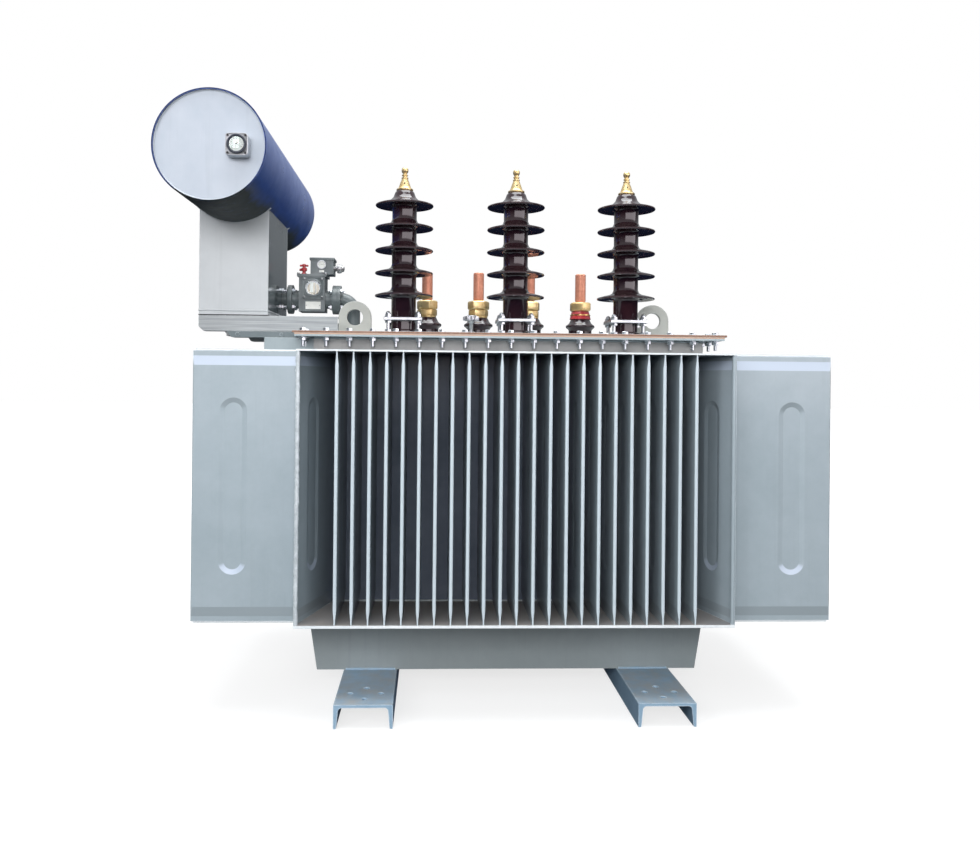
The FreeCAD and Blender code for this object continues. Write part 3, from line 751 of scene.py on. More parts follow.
# %% Cover with a primer edge
_, tree, shader = start_material("cover_enamel")
upright = math_node(tree, "ABSOLUTE", looking(tree)["Z"])
band = add_node(tree, "MapRange", {"From Min": 0.55, "From Max": 0.25})
wire(tree, upright, band.inputs["Value"])
tone = use_group(tree, "uneven_tone", Broad=7.0, Fine=70.0, Share=0.5)
fallen = use_group(tree, "settled_dust", Amount=0.6)
worn = use_group(tree, "worn_edges", Radius=0.0018, Amount=0.9)
top = mix_colour(tree, tone.outputs[0], (0.34, 0.39, 0.41), (0.28, 0.33, 0.35))
top = mix_colour(tree, fallen.outputs[0], top, (0.42, 0.38, 0.33))
primer = mix_colour(tree, tone.outputs[0], (0.17, 0.085, 0.055), (0.30, 0.18, 0.13))
colour = mix_colour(tree, band.outputs["Result"], top, primer)
colour = mix_colour(tree, worn.outputs[0], colour, (0.70, 0.70, 0.69))
wire(tree, colour, shader.inputs["Base Color"])
set_rough(tree, shader, tone.outputs[0], 0.2, 0.42)
spray = use_group(tree, "spray_texture", Peel=320.0, Waviness=0.4)
set_bump(tree, shader, spray.outputs[0], 0.4, 0.003)

# %% [markdown]
# The plates above and below the fins are bright along their cut front edge, partly as worn bare
# metal and partly as a painted highlight, and brown-grey with settled dirt where they face up. What
# neither of two tilt masks takes, one for faces that look up and one for those that look down, is
# the edge. The upper plate is the cleaner one, and height tells it from the lower.

# %% Fin plates
_, tree, shader = start_material("fin_plate_enamel")
side_edge = math_node(tree, "SUBTRACT", 1.0,
                      math_node(tree, "ADD", tilt_mask(tree, 0.3, 0.6), tilt_mask(tree, -0.3, -0.6)),
                      True)
tone = use_group(tree, "uneven_tone", Broad=6.0, Fine=50.0, Share=0.5)
dirt = mix_colour(tree, tone.outputs[0], (0.22, 0.22, 0.225), (0.29, 0.265, 0.25))
clean = mix_colour(tree, tone.outputs[0], (0.33, 0.38, 0.41), (0.30, 0.335, 0.35))
upper = add_node(tree, "MapRange", {"From Min": 0.5, "From Max": 0.6})
wire(tree, lying(tree)["Z"], upper.inputs["Value"])
dirt = mix_colour(tree, upper.outputs["Result"], dirt, clean)
# The near-white edge colour is partly worn bare metal and partly a painted highlight.
edge_wear_and_highlight = mix_colour(tree, tone.outputs[0], (0.84, 0.87, 0.89), (0.70, 0.75, 0.78))
above = mix_colour(tree, tilt_mask(tree, -0.3, -0.6), dirt, (0.30, 0.35, 0.38))
wire(tree, mix_colour(tree, side_edge, above, edge_wear_and_highlight), shader.inputs["Base Color"])
set_rough(tree, shader, tone.outputs[0], 0.2, 0.36)
spray = use_group(tree, "spray_texture", Peel=300.0, Waviness=0.5)
set_bump(tree, shader, spray.outputs[0], 0.35, 0.003)

# %% [markdown]
# The platform beam is pale steel with fine drawn lines along its length, under a thin lacquer.

# %% Platform beam finish
_, tree, shader = start_material("drawn_steel_lacquer")
tone = use_group(tree, "uneven_tone", Broad=5.0, Fine=80.0)
lines = use_group(tree, "brush_lines", Fineness=0.8)
worn = use_group(tree, "worn_edges", Radius=0.003, Amount=0.9)
clearer = add_node(tree, "MapRange", {"From Min": 0.38, "From Max": 0.62})
wire(tree, lines.outputs[0], clearer.inputs["Value"])
body = mix_colour(tree, clearer.outputs["Result"], (0.24, 0.255, 0.265), (0.41, 0.43, 0.44))
body = mix_colour(tree, math_node(tree, "MULTIPLY", tone.outputs[0], 0.4), body, (0.27, 0.28, 0.29))
wire(tree, mix_colour(tree, worn.outputs[0], body, (0.75, 0.77, 0.78)),
     shader.inputs["Base Color"])
set_rough(tree, shader, tone.outputs[0], 0.15, 0.32)
set_bump(tree, shader, lines.outputs[0], 0.25, 0.0015)
print("finishes:", len(bpy.data.materials))

# %% [markdown]
# The conservator drum is a strong, glossy blue above. Its underside is a dark, dull grey, which is
# painted shade and a painted dark reflection of the ground and pedestal, and the two meet in a soft,
# uneven line. The border is set by height, measured from the drum's own axis, so it follows the
# drum.

# %% Conservator enamel
drum_low, drum_high = low("conservator_shell"), high("conservator_shell")
drum_axis = (drum_low + drum_high) / 2
_, tree, shader = start_material("conservator_enamel")
tone = use_group(tree, "uneven_tone", Broad=6.0)
rain = use_group(tree, "rain_marks", Amount=0.3)
drift = math_node(tree, "MULTIPLY", tone.outputs[0], 0.035)
# Below this height the colour is painted shade and a painted dark reflection of the ground and
# pedestal.
painted_shade_below, blue_above = drum_axis.z - 0.108, drum_axis.z - 0.070
border = add_node(tree, "MapRange", {"From Min": painted_shade_below, "From Max": blue_above})
wire(tree, math_node(tree, "ADD", lying(tree)["Z"], drift), border.inputs["Value"])
blue = mix_colour(tree, tone.outputs[0], (0.060, 0.135, 0.46), (0.036, 0.088, 0.34))
# The dark grey is painted shade and painted reflection, not a paint of the drum's own.
painted_underside_shade = mix_colour(tree, tone.outputs[0], (0.036, 0.046, 0.044), (0.020, 0.027, 0.027))
colour = mix_colour(tree, border.outputs["Result"], painted_underside_shade, blue)
colour = mix_colour(tree, rain.outputs[0], colour, (0.10, 0.16, 0.36))
wire(tree, colour, shader.inputs["Base Color"])
dull = math_node(tree, "MULTIPLY", tone.outputs[0], 0.15)
flat = math_node(tree, "SUBTRACT", 0.66, math_node(tree, "MULTIPLY", border.outputs["Result"], 0.40))
wire(tree, math_node(tree, "ADD", dull, flat), shader.inputs["Roughness"])
wire(tree, math_node(tree, "MULTIPLY", border.outputs["Result"], 0.5), shader.inputs["Coat Weight"])
shader.inputs["Coat Roughness"].default_value = 0.08
spray = use_group(tree, "spray_texture", Waviness=0.9, Wave=3.5)
set_bump(tree, shader, spray.outputs[0], 0.3, 0.004)
print("conservator enamel ready")

# %% [markdown]
# ## Porcelain, metals, rubber and glass
# Bushing porcelain is dipped in a dark brown glaze. The glaze is thick and glassy, with tiny
# pits, and thins to a redder brown on sharp rims, which the edge mask picks out.

# %% Porcelain
porcelain, tree, shader = start_material("brown_glaze")
tone = use_group(tree, "uneven_tone", Broad=9.0, Fine=60.0)
thin_rim = use_group(tree, "worn_edges", Radius=0.004, Amount=0.55)
dust_on = use_group(tree, "settled_dust", Amount=0.22, Scale=30.0)
colour = mix_colour(tree, tone.outputs[0], (0.014, 0.006, 0.010), (0.026, 0.009, 0.012))
colour = mix_colour(tree, thin_rim.outputs[0], colour, (0.06, 0.022, 0.022))
colour = mix_colour(tree, dust_on.outputs[0], colour, (0.16, 0.13, 0.12))
wire(tree, colour, shader.inputs["Base Color"])
set_rough(tree, shader, dust_on.outputs[0], 0.8, 0.12)
shader.inputs["Coat Weight"].default_value = 0.6
shader.inputs["Coat Roughness"].default_value = 0.04
spray = use_group(tree, "spray_texture", Peel=180.0, Wave=24.0, Waviness=0.5)
set_bump(tree, shader, spray.outputs[0], 0.12, 0.003)
print("glaze ready")

# %% [markdown]
# Bare metals share a recipe too: a body colour, a duller tarnish in patches, fine machining
# lines in the height, and a roughness that follows the tarnish.

# %% The bare metal recipe
def bare_metal(name, body, tarnish, rough, lines=0.15, fineness=1.0, broad=30.0, metallic=1.0):
    made, tree, shader = start_material(name)
    tone = use_group(tree, "uneven_tone", Broad=broad, Fine=120.0)
    worn = use_group(tree, "worn_edges", Radius=0.0012, Amount=0.7)
    colour = mix_colour(tree, tone.outputs[0], body, tarnish)
    colour = mix_colour(tree, worn.outputs[0], colour, tuple(min(1.0, c * 1.3) for c in body))
    wire(tree, colour, shader.inputs["Base Color"])
    set_rough(tree, shader, tone.outputs[0], 0.2, rough)
    shader.inputs["Metallic"].default_value = metallic
    brushed = use_group(tree, "brush_lines", Fineness=fineness)
    set_bump(tree, shader, brushed.outputs[0], lines, 0.001)
    return made


brass = bare_metal("machined_brass", (0.88, 0.69, 0.37), (0.76, 0.55, 0.25), 0.26,
                   metallic=0.85)
copper = bare_metal("turned_copper", (0.80, 0.36, 0.24), (0.66, 0.27, 0.18), 0.42,
                    metallic=0.55)
zinc = bare_metal("zinc_plate", (0.78, 0.80, 0.83), (0.60, 0.63, 0.66), 0.24)
dull_zinc = bare_metal("dull_zinc", (0.55, 0.56, 0.57), (0.36, 0.36, 0.36), 0.38)
cast_alloy = bare_metal("cast_alloy", (0.62, 0.64, 0.66), (0.46, 0.48, 0.50), 0.34, metallic=0.85)
weld_metal = bare_metal("silvery_weld", (0.68, 0.73, 0.76), (0.48, 0.53, 0.56), 0.38, lines=0.4,
                        metallic=0.2)
gilt = bare_metal("gilt_ring", (0.95, 0.72, 0.30), (0.80, 0.55, 0.20), 0.15)
print("materials:", len(bpy.data.materials))

# %% [markdown]
# The gasket is brown cork-rubber, speckled with grain, and the joint rings are black rubber. The
# same recipe, with less height, gives the dials, the marks and the oil behind the glass.

# %% Gasket, rubber, dial and glass
def grained(name, body, grain, scale, rough, strength):
    made, tree, shader = start_material(name)
    speck = add_node(tree, "TexVoronoi", {"Scale": scale})
    wire(tree, stretched_place(tree, (1, 1, 1)), speck.inputs["Vector"])
    tone = use_group(tree, "uneven_tone", Broad=8.0, Fine=90.0, Share=0.5)
    colour = mix_colour(tree, tone.outputs[0], body, grain)
    wire(tree, colour, shader.inputs["Base Color"])
    set_rough(tree, shader, tone.outputs[0], 0.15, rough)
    set_bump(tree, shader, speck.outputs["Distance"], strength, 0.001)
    return made


grained("cork_rubber", (0.20, 0.115, 0.07), (0.30, 0.19, 0.13), 400.0, 0.75, 0.5)
# The same black also fills the bleed holes of the brass caps, as painted shade for their dark
# inside.
black_rubber_and_hole_shade = grained("black_rubber_and_hole_shade_paint", (0.016, 0.016, 0.017), (0.035, 0.034, 0.033), 600.0, 0.55, 0.3)
dial_white = grained("dial_white", (0.80, 0.80, 0.76), (0.68, 0.69, 0.66), 800.0, 0.45, 0.05)
dial_ink = grained("dial_ink", (0.02, 0.02, 0.022), (0.05, 0.05, 0.052), 800.0, 0.5, 0.05)
needle_red = grained("needle_red", (0.55, 0.03, 0.02), (0.40, 0.02, 0.02), 800.0, 0.4, 0.05)
oil_grey = grained("oil_grey", (0.13, 0.125, 0.165), (0.36, 0.345, 0.42), 90.0, 0.4, 0.1)
oil_amber = grained("oil_amber", (0.30, 0.19, 0.07), (0.20, 0.115, 0.04), 300.0, 0.25, 0.05)

glass, tree, shader = start_material("sight_glass")
shader.inputs["Base Color"].default_value = (0.93, 0.97, 0.97, 1)
shader.inputs["Transmission Weight"].default_value = 1.0
shader.inputs["IOR"].default_value = 1.45
smear = use_group(tree, "uneven_tone", Broad=40.0, Fine=150.0)
wire(tree, math_node(tree, "MULTIPLY", smear.outputs[0], 0.06), shader.inputs["Roughness"])
print("materials:", len(bpy.data.materials))

# %% [markdown]
# ## Dressing the CAD pieces
# Every CAD piece gets one of the finishes above. A table of finishes, each with the pieces that
# wear it, shows at a glance what matches what.

# %% Finish for every CAD piece
finishes = {
    "tank_enamel": ["rim_flange", "support_blocks"],
    "fin_wall_painted_shade": ["tank_body"],
    "rim_enamel": ["tank_rim"],
    "long_fin_enamel": ["front_fins", "rear_fins"],
    "fin_plate_enamel": ["front_fin_plates", "rear_fin_plates", "left_fin_plates",
                         "right_fin_plates"],
    "cover_enamel": ["cover_plate"],
    "lug_enamel": ["lifting_lugs"],
    "bottom_box_enamel": ["tank_bottom_box"],
    "fin_enamel": ["left_fins", "right_fins", "corner_fins_left", "corner_fins_right",
                   "corner_walls_left", "corner_walls_right"],
    "channel_enamel": ["base_channel_left", "base_channel_right"],
    "drawn_steel_lacquer": ["platform_beams"],
    "arm_enamel": ["platform_arms"],
    "pale_enamel": ["pedestal_faces", "pedestal_foot"],
    "pedestal_side_painted_shade": ["pedestal_sides"],
    "conservator_end_enamel": ["conservator_ends"],
    "conservator_enamel": ["conservator_shell"],
    "brown_glaze": ["hv_bushing_1", "hv_bushing_2", "hv_bushing_3", "lv_skirts"],
    "cork_rubber": ["cover_gasket"],
    "zinc_plate": ["hv_clamps", "filler_knob"],
    "machined_brass": ["hv_terminals", "lv_collars", "lv_nuts"],
    "turned_copper": ["lv_studs"],
    "red_enamel": ["neutral_collar"],
    "cast_alloy": ["level_gauge"],
    "relay_enamel": ["relay_body", "relay_head", "relay_pipes"],
}
for finish, members in finishes.items():
    for name in members:
        shown = nodes[name]
        shown.data.materials.clear()
        shown.data.materials.append(bpy.data.materials[finish])
print("dressed:", sum(len(m) for m in finishes.values()), "of", len(nodes))

# %% [markdown]
# The CAD meshes are loose triangles. A Weld modifier joins them without touching the stored
# mesh, and a small Bevel takes the razor edge off. Sheet edges get about a millimetre and heavy
# sections a little more. Fins keep their crisp edges, and porcelain, turned parts and the base
# channels are rebuilt further on, so they are left out here.

# %% Soft edges on the CAD pieces
def soften(name, width, segments=2, angle=40):
    shown = nodes[name]
    weld = shown.modifiers.new("weld", "WELD")
    weld.merge_threshold = 0.00005
    round_off = shown.modifiers.new("soft_edges", "BEVEL")
    round_off.width = width
    round_off.segments = segments
    round_off.limit_method = "ANGLE"
    round_off.angle_limit = math.radians(angle)


softened = {
    0.0022: ["platform_beams"],
    0.0015: ["tank_bottom_box", "cover_plate", "rim_flange", "platform_arms", "pedestal_foot",
             "support_blocks", "lifting_lugs", "pedestal_faces"],
    0.0010: ["front_fin_plates", "rear_fin_plates", "left_fin_plates", "right_fin_plates",
             "tank_rim", "corner_walls_left", "corner_walls_right"],
    0.0012: ["relay_body", "relay_head", "relay_pipes"],
}
for width, members in softened.items():
    for name in members:
        soften(name, width)
print("softened:", sum(len(m) for m in softened.values()))

# %% [markdown]
# ## Cover bolts
# The cover is clamped to the tank's rim all round by M10 bolts, heads up. Each one shows a
# head and washer above, and a washer, nut and thread end below the flange. One bolt is built
# and then copied along the four sides, each copy with its own mesh.

# %% Hexagonal bodies
def hex_body(name, centre, flats, depth, chamfer, turn=(0, 0, 0)):
    """A nut or bolt head with chamfered corners on both ends, axis along Z before the turn."""
    clear_selection()
    corner = flats / 2 / math.cos(math.pi / 6)
    bpy.ops.mesh.primitive_cylinder_add(vertices=6, radius=corner, depth=depth - 2 * chamfer)
    piece = begin(name)
    for side in (1, -1):
        end = Vector((0, 0, side * depth / 2))
        pick(piece, facing((0, 0, side)))
        push((0, 0, side * chamfer))
        shrink((0.88, 0.88, 1), end)
    bpy.ops.object.mode_set(mode="OBJECT")
    rotation = Matrix.Rotation(turn[2], 4, "Z") @ Matrix.Rotation(turn[0], 4, "X") \
        @ Matrix.Rotation(turn[1], 4, "Y")
    piece.data.transform(Matrix.Translation(centre) @ rotation)
    return piece


def washer(name, centre, radius, depth, turn=(0, 0, 0), sides=20):
    piece = drum(name, centre, radius, depth, sides, turn)
    return finish_piece(piece)


# %% [markdown]
# A bolt is five small parts: head, two washers, nut and thread end. The thread end is drawn in
# at its tip, as a rolled thread is.

# %% One cover bolt
flange_low = low("rim_flange").z
bolt_inset = 0.028


def cover_bolt(name, x, y):
    head = hex_body("bolt_head", (x, y, cover_top + 0.0055), 0.017, 0.007, 0.0012)
    top_ring = washer("bolt_ring", (x, y, cover_top + 0.001), 0.0105, 0.002)
    low_ring = washer("bolt_ring", (x, y, flange_low - 0.001), 0.0105, 0.002)
    nut = hex_body("bolt_nut", (x, y, flange_low - 0.007), 0.018, 0.010, 0.0015)
    thread = drum("bolt_thread", (x, y, flange_low - 0.019), 0.0048, 0.018, 12)
    pick(thread, facing((0, 0, -1)))
    push((0, 0, -0.0015))
    shrink((0.7, 0.7, 1), (x, y, flange_low - 0.0295))
    parts = [finish_piece(p, smooth=30) for p in (head, nut, thread)] + [top_ring, low_ring]
    return join_all(parts, name)


first_bolt = cover_bolt("cover_bolts", cover_left + bolt_inset, cover_front + bolt_inset)
bolt_span_x = cover_right - cover_left - 2 * bolt_inset
bolt_span_y = cover_back - cover_front - 2 * bolt_inset
print("bolt row spans:", round(bolt_span_x, 3), round(bolt_span_y, 3))

# %% [markdown]
# The bolts stand at an even spacing along each side. The long rows take the corners, so the
# short rows start one step in.

# %% Bolts all round
long_steps, short_steps = 18, 7
bolts = [first_bolt]
for i in range(long_steps + 1):
    for y in (0, bolt_span_y):
        if i or y:
            bolts.append(copy_to(first_bolt, (bolt_span_x * i / long_steps, y, 0)))
for i in range(1, short_steps):
    for x in (0, bolt_span_x):
        bolts.append(copy_to(first_bolt, (x, bolt_span_y * i / short_steps, 0)))
cover_bolts = join_all(bolts, "cover_bolts")
cover_bolts.data.materials.append(zinc)
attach(cover_bolts, "root")
print("cover bolts:", len(bolts), "faces:", len(cover_bolts.data.polygons))


# %% [markdown]
# A small helper ends every piece from here on: it gives the material and the body it rides on and,
# where the piece stands for a CAD node, hides that node.

# %% Handing a piece over
def hand_over(piece, material, slot_name, *stands_for):
    if not piece.data.materials:
        piece.data.materials.append(material)
    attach(piece, "root")
    if stands_for:
        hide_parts(*stands_for)
    triangles = sum(len(p.vertices) - 2 for p in piece.data.polygons)
    print(piece.name, "triangles:", triangles)
    return piece


# %% [markdown]
# ## High-voltage bushings
# Each bushing is one porcelain turning: a plain barrel, five thin sheds that droop slightly,
# and a bell-shaped top under the brass cap. It could be stacked from discs, but a lathe
# outline spun about the axis gives the fillets where each shed grows out of the barrel.

# %% Porcelain outline
barrel, shed_reach = 0.0385, 0.0910
first_shed, shed_pitch, shed_count = 0.117, 0.071, 5
shed_heights = [first_shed + shed_pitch * i for i in range(shed_count)]
outline = [(0.0, 0.0), (0.0455, 0.0), (0.0455, 0.010), (0.043, 0.012), (barrel, 0.014)]
for z in shed_heights:
    outline += [
        (barrel, z - 0.006), (barrel + 0.003, z + 0.001), (barrel + 0.010, z + 0.0045),
        (0.072, z + 0.0035), (shed_reach - 0.006, z - 0.0004), (shed_reach - 0.0018, z - 0.0003),
        (shed_reach, z + 0.002), (shed_reach - 0.001, z + 0.0048), (shed_reach - 0.006, z + 0.0066),
        (0.072, z + 0.0102), (barrel + 0.013, z + 0.0150),
    ]
    if z < shed_heights[-1]:
        outline += [(barrel + 0.004, z + 0.0205), (barrel, z + 0.030)]
crown = shed_heights[-1]
outline += [(0.0420, crown + 0.0220), (0.0355, crown + 0.0290), (0.0325, crown + 0.0370),
            (0.0300, crown + 0.0440), (0.0255, crown + 0.0490), (0.0, crown + 0.0500)]
print("outline points:", len(outline), "crown:", round(crown, 3))

# %% [markdown]
# Each bushing is spun at its own place and stands for one CAD node. It needs no bevel, because
# its rounding is already in the outline.

# %% Three bushings
hv_base = low("hv_bushing_1").z
for number in (1, 2, 3):
    node = f"hv_bushing_{number}"
    centre = middle(node)
    bushing = lathe(f"porcelain_{number}", outline, (centre.x, centre.y, hv_base), steps=72)
    hand_over(finish_piece(bushing, smooth=50), porcelain, "brown_porcelain", node)

# %% [markdown]
# The cap is machined brass: a flange that seals on the porcelain, a cone with an air-bleed hole, a
# grooved neck and a ball to take a clamp. The bleed hole is a short black plug set into the cone,
# painted shade that is seen as a hole from outside.

# %% Brass caps
def brass_cap(number):
    centre = middle(f"hv_bushing_{number}")
    z = hv_base + crown + 0.050
    cap = [(0.0, -0.001), (0.0250, -0.001), (0.0262, 0.0005), (0.0262, 0.0040), (0.0248, 0.0056),
           (0.0215, 0.0064), (0.0200, 0.0078), (0.0185, 0.0125), (0.0140, 0.0260),
           (0.0104, 0.0350), (0.0098, 0.0380), (0.0108, 0.0390), (0.0108, 0.0412),
           (0.0076, 0.0424), (0.0072, 0.0462), (0.0098, 0.0474), (0.0098, 0.0496),
           (0.0070, 0.0508), (0.0066, 0.0545), (0.0086, 0.0566), (0.0104, 0.0600),
           (0.0110, 0.0640), (0.0102, 0.0682), (0.0080, 0.0716), (0.0044, 0.0734), (0.0, 0.0738)]
    turned = finish_piece(lathe("cap", cap, (centre.x, centre.y, z), steps=40), smooth=40)
    turned.data.materials.append(brass)
    hole = drum("cap_hole", (centre.x, centre.y - 0.0142, z + 0.0215), 0.0024, 0.006, 16,
                (math.pi / 2, 0, 0))
    pick(hole, facing((0, -1, 0)))
    inset(0.0008)
    push((0, 0.002, 0))
    hole = finish_piece(hole)
    # The plug's black is painted shade for the inside of the hole.
    hole.data.materials.append(black_rubber_and_hole_shade)
    return join_all([turned, hole], f"brass_cap_{number}")


caps = [brass_cap(number) for number in (1, 2, 3)]
hand_over(join_all(caps, "brass_caps"), brass, "brass", "hv_terminals")

# %% [markdown]
# A square clamping plate holds each bushing down by four studs. Every stud has a domed cap nut
# and washer above the plate, a nut under it, and a nut on a thick washer on the cover.

# %% Clamp studs
def clamp_stud(x, y):
    plate_top = high("hv_clamps").z
    plate_low = low("hv_clamps").z
    rod_height = plate_low - cover_top
    rod = drum("stud", (x, y, cover_top + rod_height / 2), 0.0052, rod_height, 14)
    foot = hex_body("foot", (x, y, cover_top + 0.008), 0.019, 0.009, 0.0014)
    foot_ring = washer("foot_ring", (x, y, cover_top + 0.0018), 0.0135, 0.0036)
    under = hex_body("under", (x, y, plate_low - 0.0045), 0.018, 0.008, 0.0012)
    ring = washer("ring", (x, y, plate_top + 0.001), 0.0125, 0.002)
    nut = hex_body("cap_nut", (x, y, plate_top + 0.0055), 0.018, 0.008, 0.0012)
    dome = [(0.0, 0.0), (0.0078, 0.0), (0.0078, 0.002), (0.0066, 0.0060), (0.0040, 0.0085),
            (0.0, 0.0095)]
    dome = lathe("dome", dome, (x, y, plate_top + 0.009), steps=16)
    parts = [finish_piece(p, smooth=35) for p in (rod, foot, under, nut, dome)]
    return parts + [foot_ring, ring]


reach = (high("hv_bushing_1").x - low("hv_bushing_1").x) / 4 + 0.0005
studs = []
for number in (1, 2, 3):
    centre = middle(f"hv_bushing_{number}")
    for dx in (-reach, reach):
        for dy in (-reach, reach):
            studs += clamp_stud(centre.x + dx, centre.y + dy)
hand_over(join_all(studs, "clamp_studs"), zinc, "zinc_steel")
soften("hv_clamps", 0.002, 3)

# %% [markdown]
# ## Low-voltage terminals
# Four heavy copper studs stand in a row at the back. A flared porcelain skirt seals each on
# the cover, then comes a tapered brass collar with a ring, and a big hexagonal brass nut. The
# last terminal is the neutral: its collar is painted red and carries a thin gilt ring.

# %% Terminal places and heights
stud_low, stud_high = low("lv_studs"), high("lv_studs")
stud_radius = 0.018
stud_y = (stud_low.y + stud_high.y) / 2
stud_gap = (stud_high.x - stud_low.x - 2 * stud_radius) / 3
stud_places = [stud_low.x + stud_radius + stud_gap * i for i in range(4)]
skirt_top, collar_top, nut_top = high("lv_skirts").z, high("lv_collars").z, high("lv_nuts").z
print("terminals at x:", [round(x, 3) for x in stud_places])

# %% [markdown]
# The stud is plain round bar with a turned chamfer at its top and a shallow groove where the
# thread begins, just above the nut.

# %% Copper studs
stud_height = stud_high.z - nut_top
stud_line = [(0.0, -0.02), (0.0165, -0.02), (0.0165, 0.004), (stud_radius, 0.006),
             (stud_radius, stud_height - 0.003), (0.0155, stud_height - 0.0006),
             (0.0145, stud_height), (0.0, stud_height)]
copper_studs = []
for x in stud_places:
    turned = lathe("stud", stud_line, (x, stud_y, nut_top), steps=48)
    copper_studs.append(finish_piece(turned, smooth=30))
hand_over(join_all(copper_studs, "copper_studs"), copper, "copper", "lv_studs")

# %% [markdown]
# The nuts are chamfered on both faces, which leaves the bright corners that catch the light.
# Each starts as a hexagonal prism, is extruded and drawn in at both ends, and has its edges
# rolled over by a bevel.

# %% Brass nuts and collars
nut_height = nut_top - collar_top
brass_nuts = []
for i, x in enumerate(stud_places):
    nut = hex_body("nut", (x, stud_y, collar_top + nut_height / 2), 0.064, nut_height, 0.004,
                   (0, 0, math.radians(12 + 17 * i)))
    brass_nuts.append(finish_piece(nut, 0.0009, 2))
hand_over(join_all(brass_nuts, "brass_nuts"), brass, "brass", "lv_nuts")

collar_height = collar_top - skirt_top
ring_line = [(0.0, 0.0), (0.0275, 0.0), (0.0305, 0.0012), (0.0312, 0.0036), (0.0305, 0.0060),
             (0.0275, 0.0070), (0.0, 0.0070)]
brass_collars = []
for i, x in enumerate(stud_places[:3]):
    ring = finish_piece(lathe("ring", ring_line, (x, stud_y, skirt_top), steps=40))
    body = hex_body("collar", (x, stud_y, skirt_top + 0.006 + (collar_height - 0.006) / 2),
                    0.059, collar_height - 0.006, 0.002, (0, 0, math.radians(25 + 11 * i)))
    pick(body, facing((0, 0, -1)))
    shrink((0.90, 0.90, 1), (x, stud_y, skirt_top + 0.006))
    brass_collars += [ring, finish_piece(body, 0.0008, 2)]
hand_over(join_all(brass_collars, "brass_collars"), brass, "brass", "lv_collars")

# %% [markdown]
# The neutral's collar is a plain cone, painted red, where the others are hexagonal. The gilt
# ring is a closed outline of its own, spun round the cone.

# %% Neutral collar
neutral_x = stud_places[3]
red_line = [(0.0, 0.0), (0.0352, 0.0), (0.0358, 0.0015), (0.0300, collar_height - 0.003),
            (0.0285, collar_height - 0.001), (0.0, collar_height - 0.001)]
red_collar = finish_piece(lathe("red_collar", red_line, (neutral_x, stud_y, skirt_top), steps=48))
hand_over(red_collar, red_paint, "red_paint", "neutral_collar")
gilt_line = [(0.0322, 0.0120), (0.0342, 0.0128), (0.0345, 0.0145), (0.0340, 0.0162),
             (0.0318, 0.0168), (0.0322, 0.0120)]
gilt_piece = finish_piece(lathe("gilt_collar_ring", gilt_line, (neutral_x, stud_y, skirt_top)))
hand_over(gilt_piece, gilt, "brass")

# %% [markdown]
# The skirts are the same dark glaze as the tall bushings. Each has a short neck, a wide flared
# rim like the brim of a hat, and a foot on a rubber ring.

# %% Skirts
brim = 0.046
skirt_line = [(0.0, 0.004), (0.040, 0.004), (0.0405, 0.010), (0.0385, brim - 0.020),
              (0.0395, brim - 0.014), (0.0440, brim - 0.009), (0.0482, brim - 0.006),
              (0.0488, brim - 0.002), (0.0482, brim + 0.001), (0.0420, brim + 0.005),
              (0.0380, brim + 0.009), (0.0345, brim + 0.016), (0.0320, brim + 0.0215),
              (0.0, brim + 0.022)]
skirts, rings = [], []
for x in stud_places:
    skirts.append(finish_piece(lathe("skirt", skirt_line, (x, stud_y, cover_top)), smooth=50))
    rings.append(washer("foot_ring", (x, stud_y, cover_top + 0.002), 0.044, 0.004, sides=40))
hand_over(join_all(skirts, "terminal_skirts"), porcelain, "brown_porcelain", "lv_skirts")
hand_over(join_all(rings, "terminal_foot_rings"), black_rubber_and_hole_shade, "cork_rubber")

# %% [markdown]
# ## Filler plug
# The oil filler is closed by a cast star knob on a threaded stem, so it can be turned by hand.
# A disc is the start; every other side of its rim is drawn out to make the lobes, and a bevel
# rounds them.

# %% Star knob
knob_high = high("filler_knob")
knob_x, knob_y = middle("filler_knob").x, middle("filler_knob").y
knob_thickness = 0.016
knob_z = knob_high.z - knob_thickness / 2
lobes = 7
knob_sides = 2 * lobes
knob = drum("filler_star_knob", (knob_x, knob_y, knob_z), 0.0195, knob_thickness, knob_sides)
for i in range(0, knob_sides, 2):
    turn = math.tau * (i + 0.5) / knob_sides
    side = Vector((math.sin(turn), math.cos(turn), 0))
    pick(knob, facing(side, 0.99))
    push(side * 0.0085)
    shrink(0.72, Vector((knob_x, knob_y, knob_z)) + side * 0.0275)
pick(knob, facing((0, 0, 1)))
inset(0.007)
push((0, 0, 0.003))
shrink((0.8, 0.8, 1), (knob_x, knob_y, knob_z))
knob = finish_piece(knob, 0.0022, 3, smooth=50)
print("knob lobes:", lobes)

# %% [markdown]
# The stem is turned in one piece with its plug. Its thread is a row of shallow ridges, which at
# this size reads the same as a helix and is far lighter.

# %% Knob stem and plug
stem_height = knob_high.z - knob_thickness - cover_top
stem_line = [(0.0, 0.0), (0.017, 0.0), (0.017, 0.008), (0.0125, 0.011), (0.0125, 0.018),
             (0.0065, 0.021)]
for i in range(6):
    z = 0.024 + i * 0.0042
    stem_line += [(0.0058, z), (0.0066, z + 0.0021)]
stem_line += [(0.0090, stem_height - 0.004), (0.0095, stem_height), (0.0, stem_height)]
stem = finish_piece(lathe("stem", stem_line, (knob_x, knob_y, cover_top), steps=24))
hand_over(join_all([knob, stem], "filler_star_knob"), zinc, "zinc_steel", "filler_knob")

# %% [markdown]
# ## Conservator
# The drum's sheet overhangs its end disc by a few millimetres, and the ring over its cut edge and
# the inside of the overhang is painted nearly black, as painted shade inside the overhang.
# The disc is welded in from the front, which leaves a fine raised bead round it. Both rings
# are lathe outlines spun about the drum's axis. The back end repeats them.

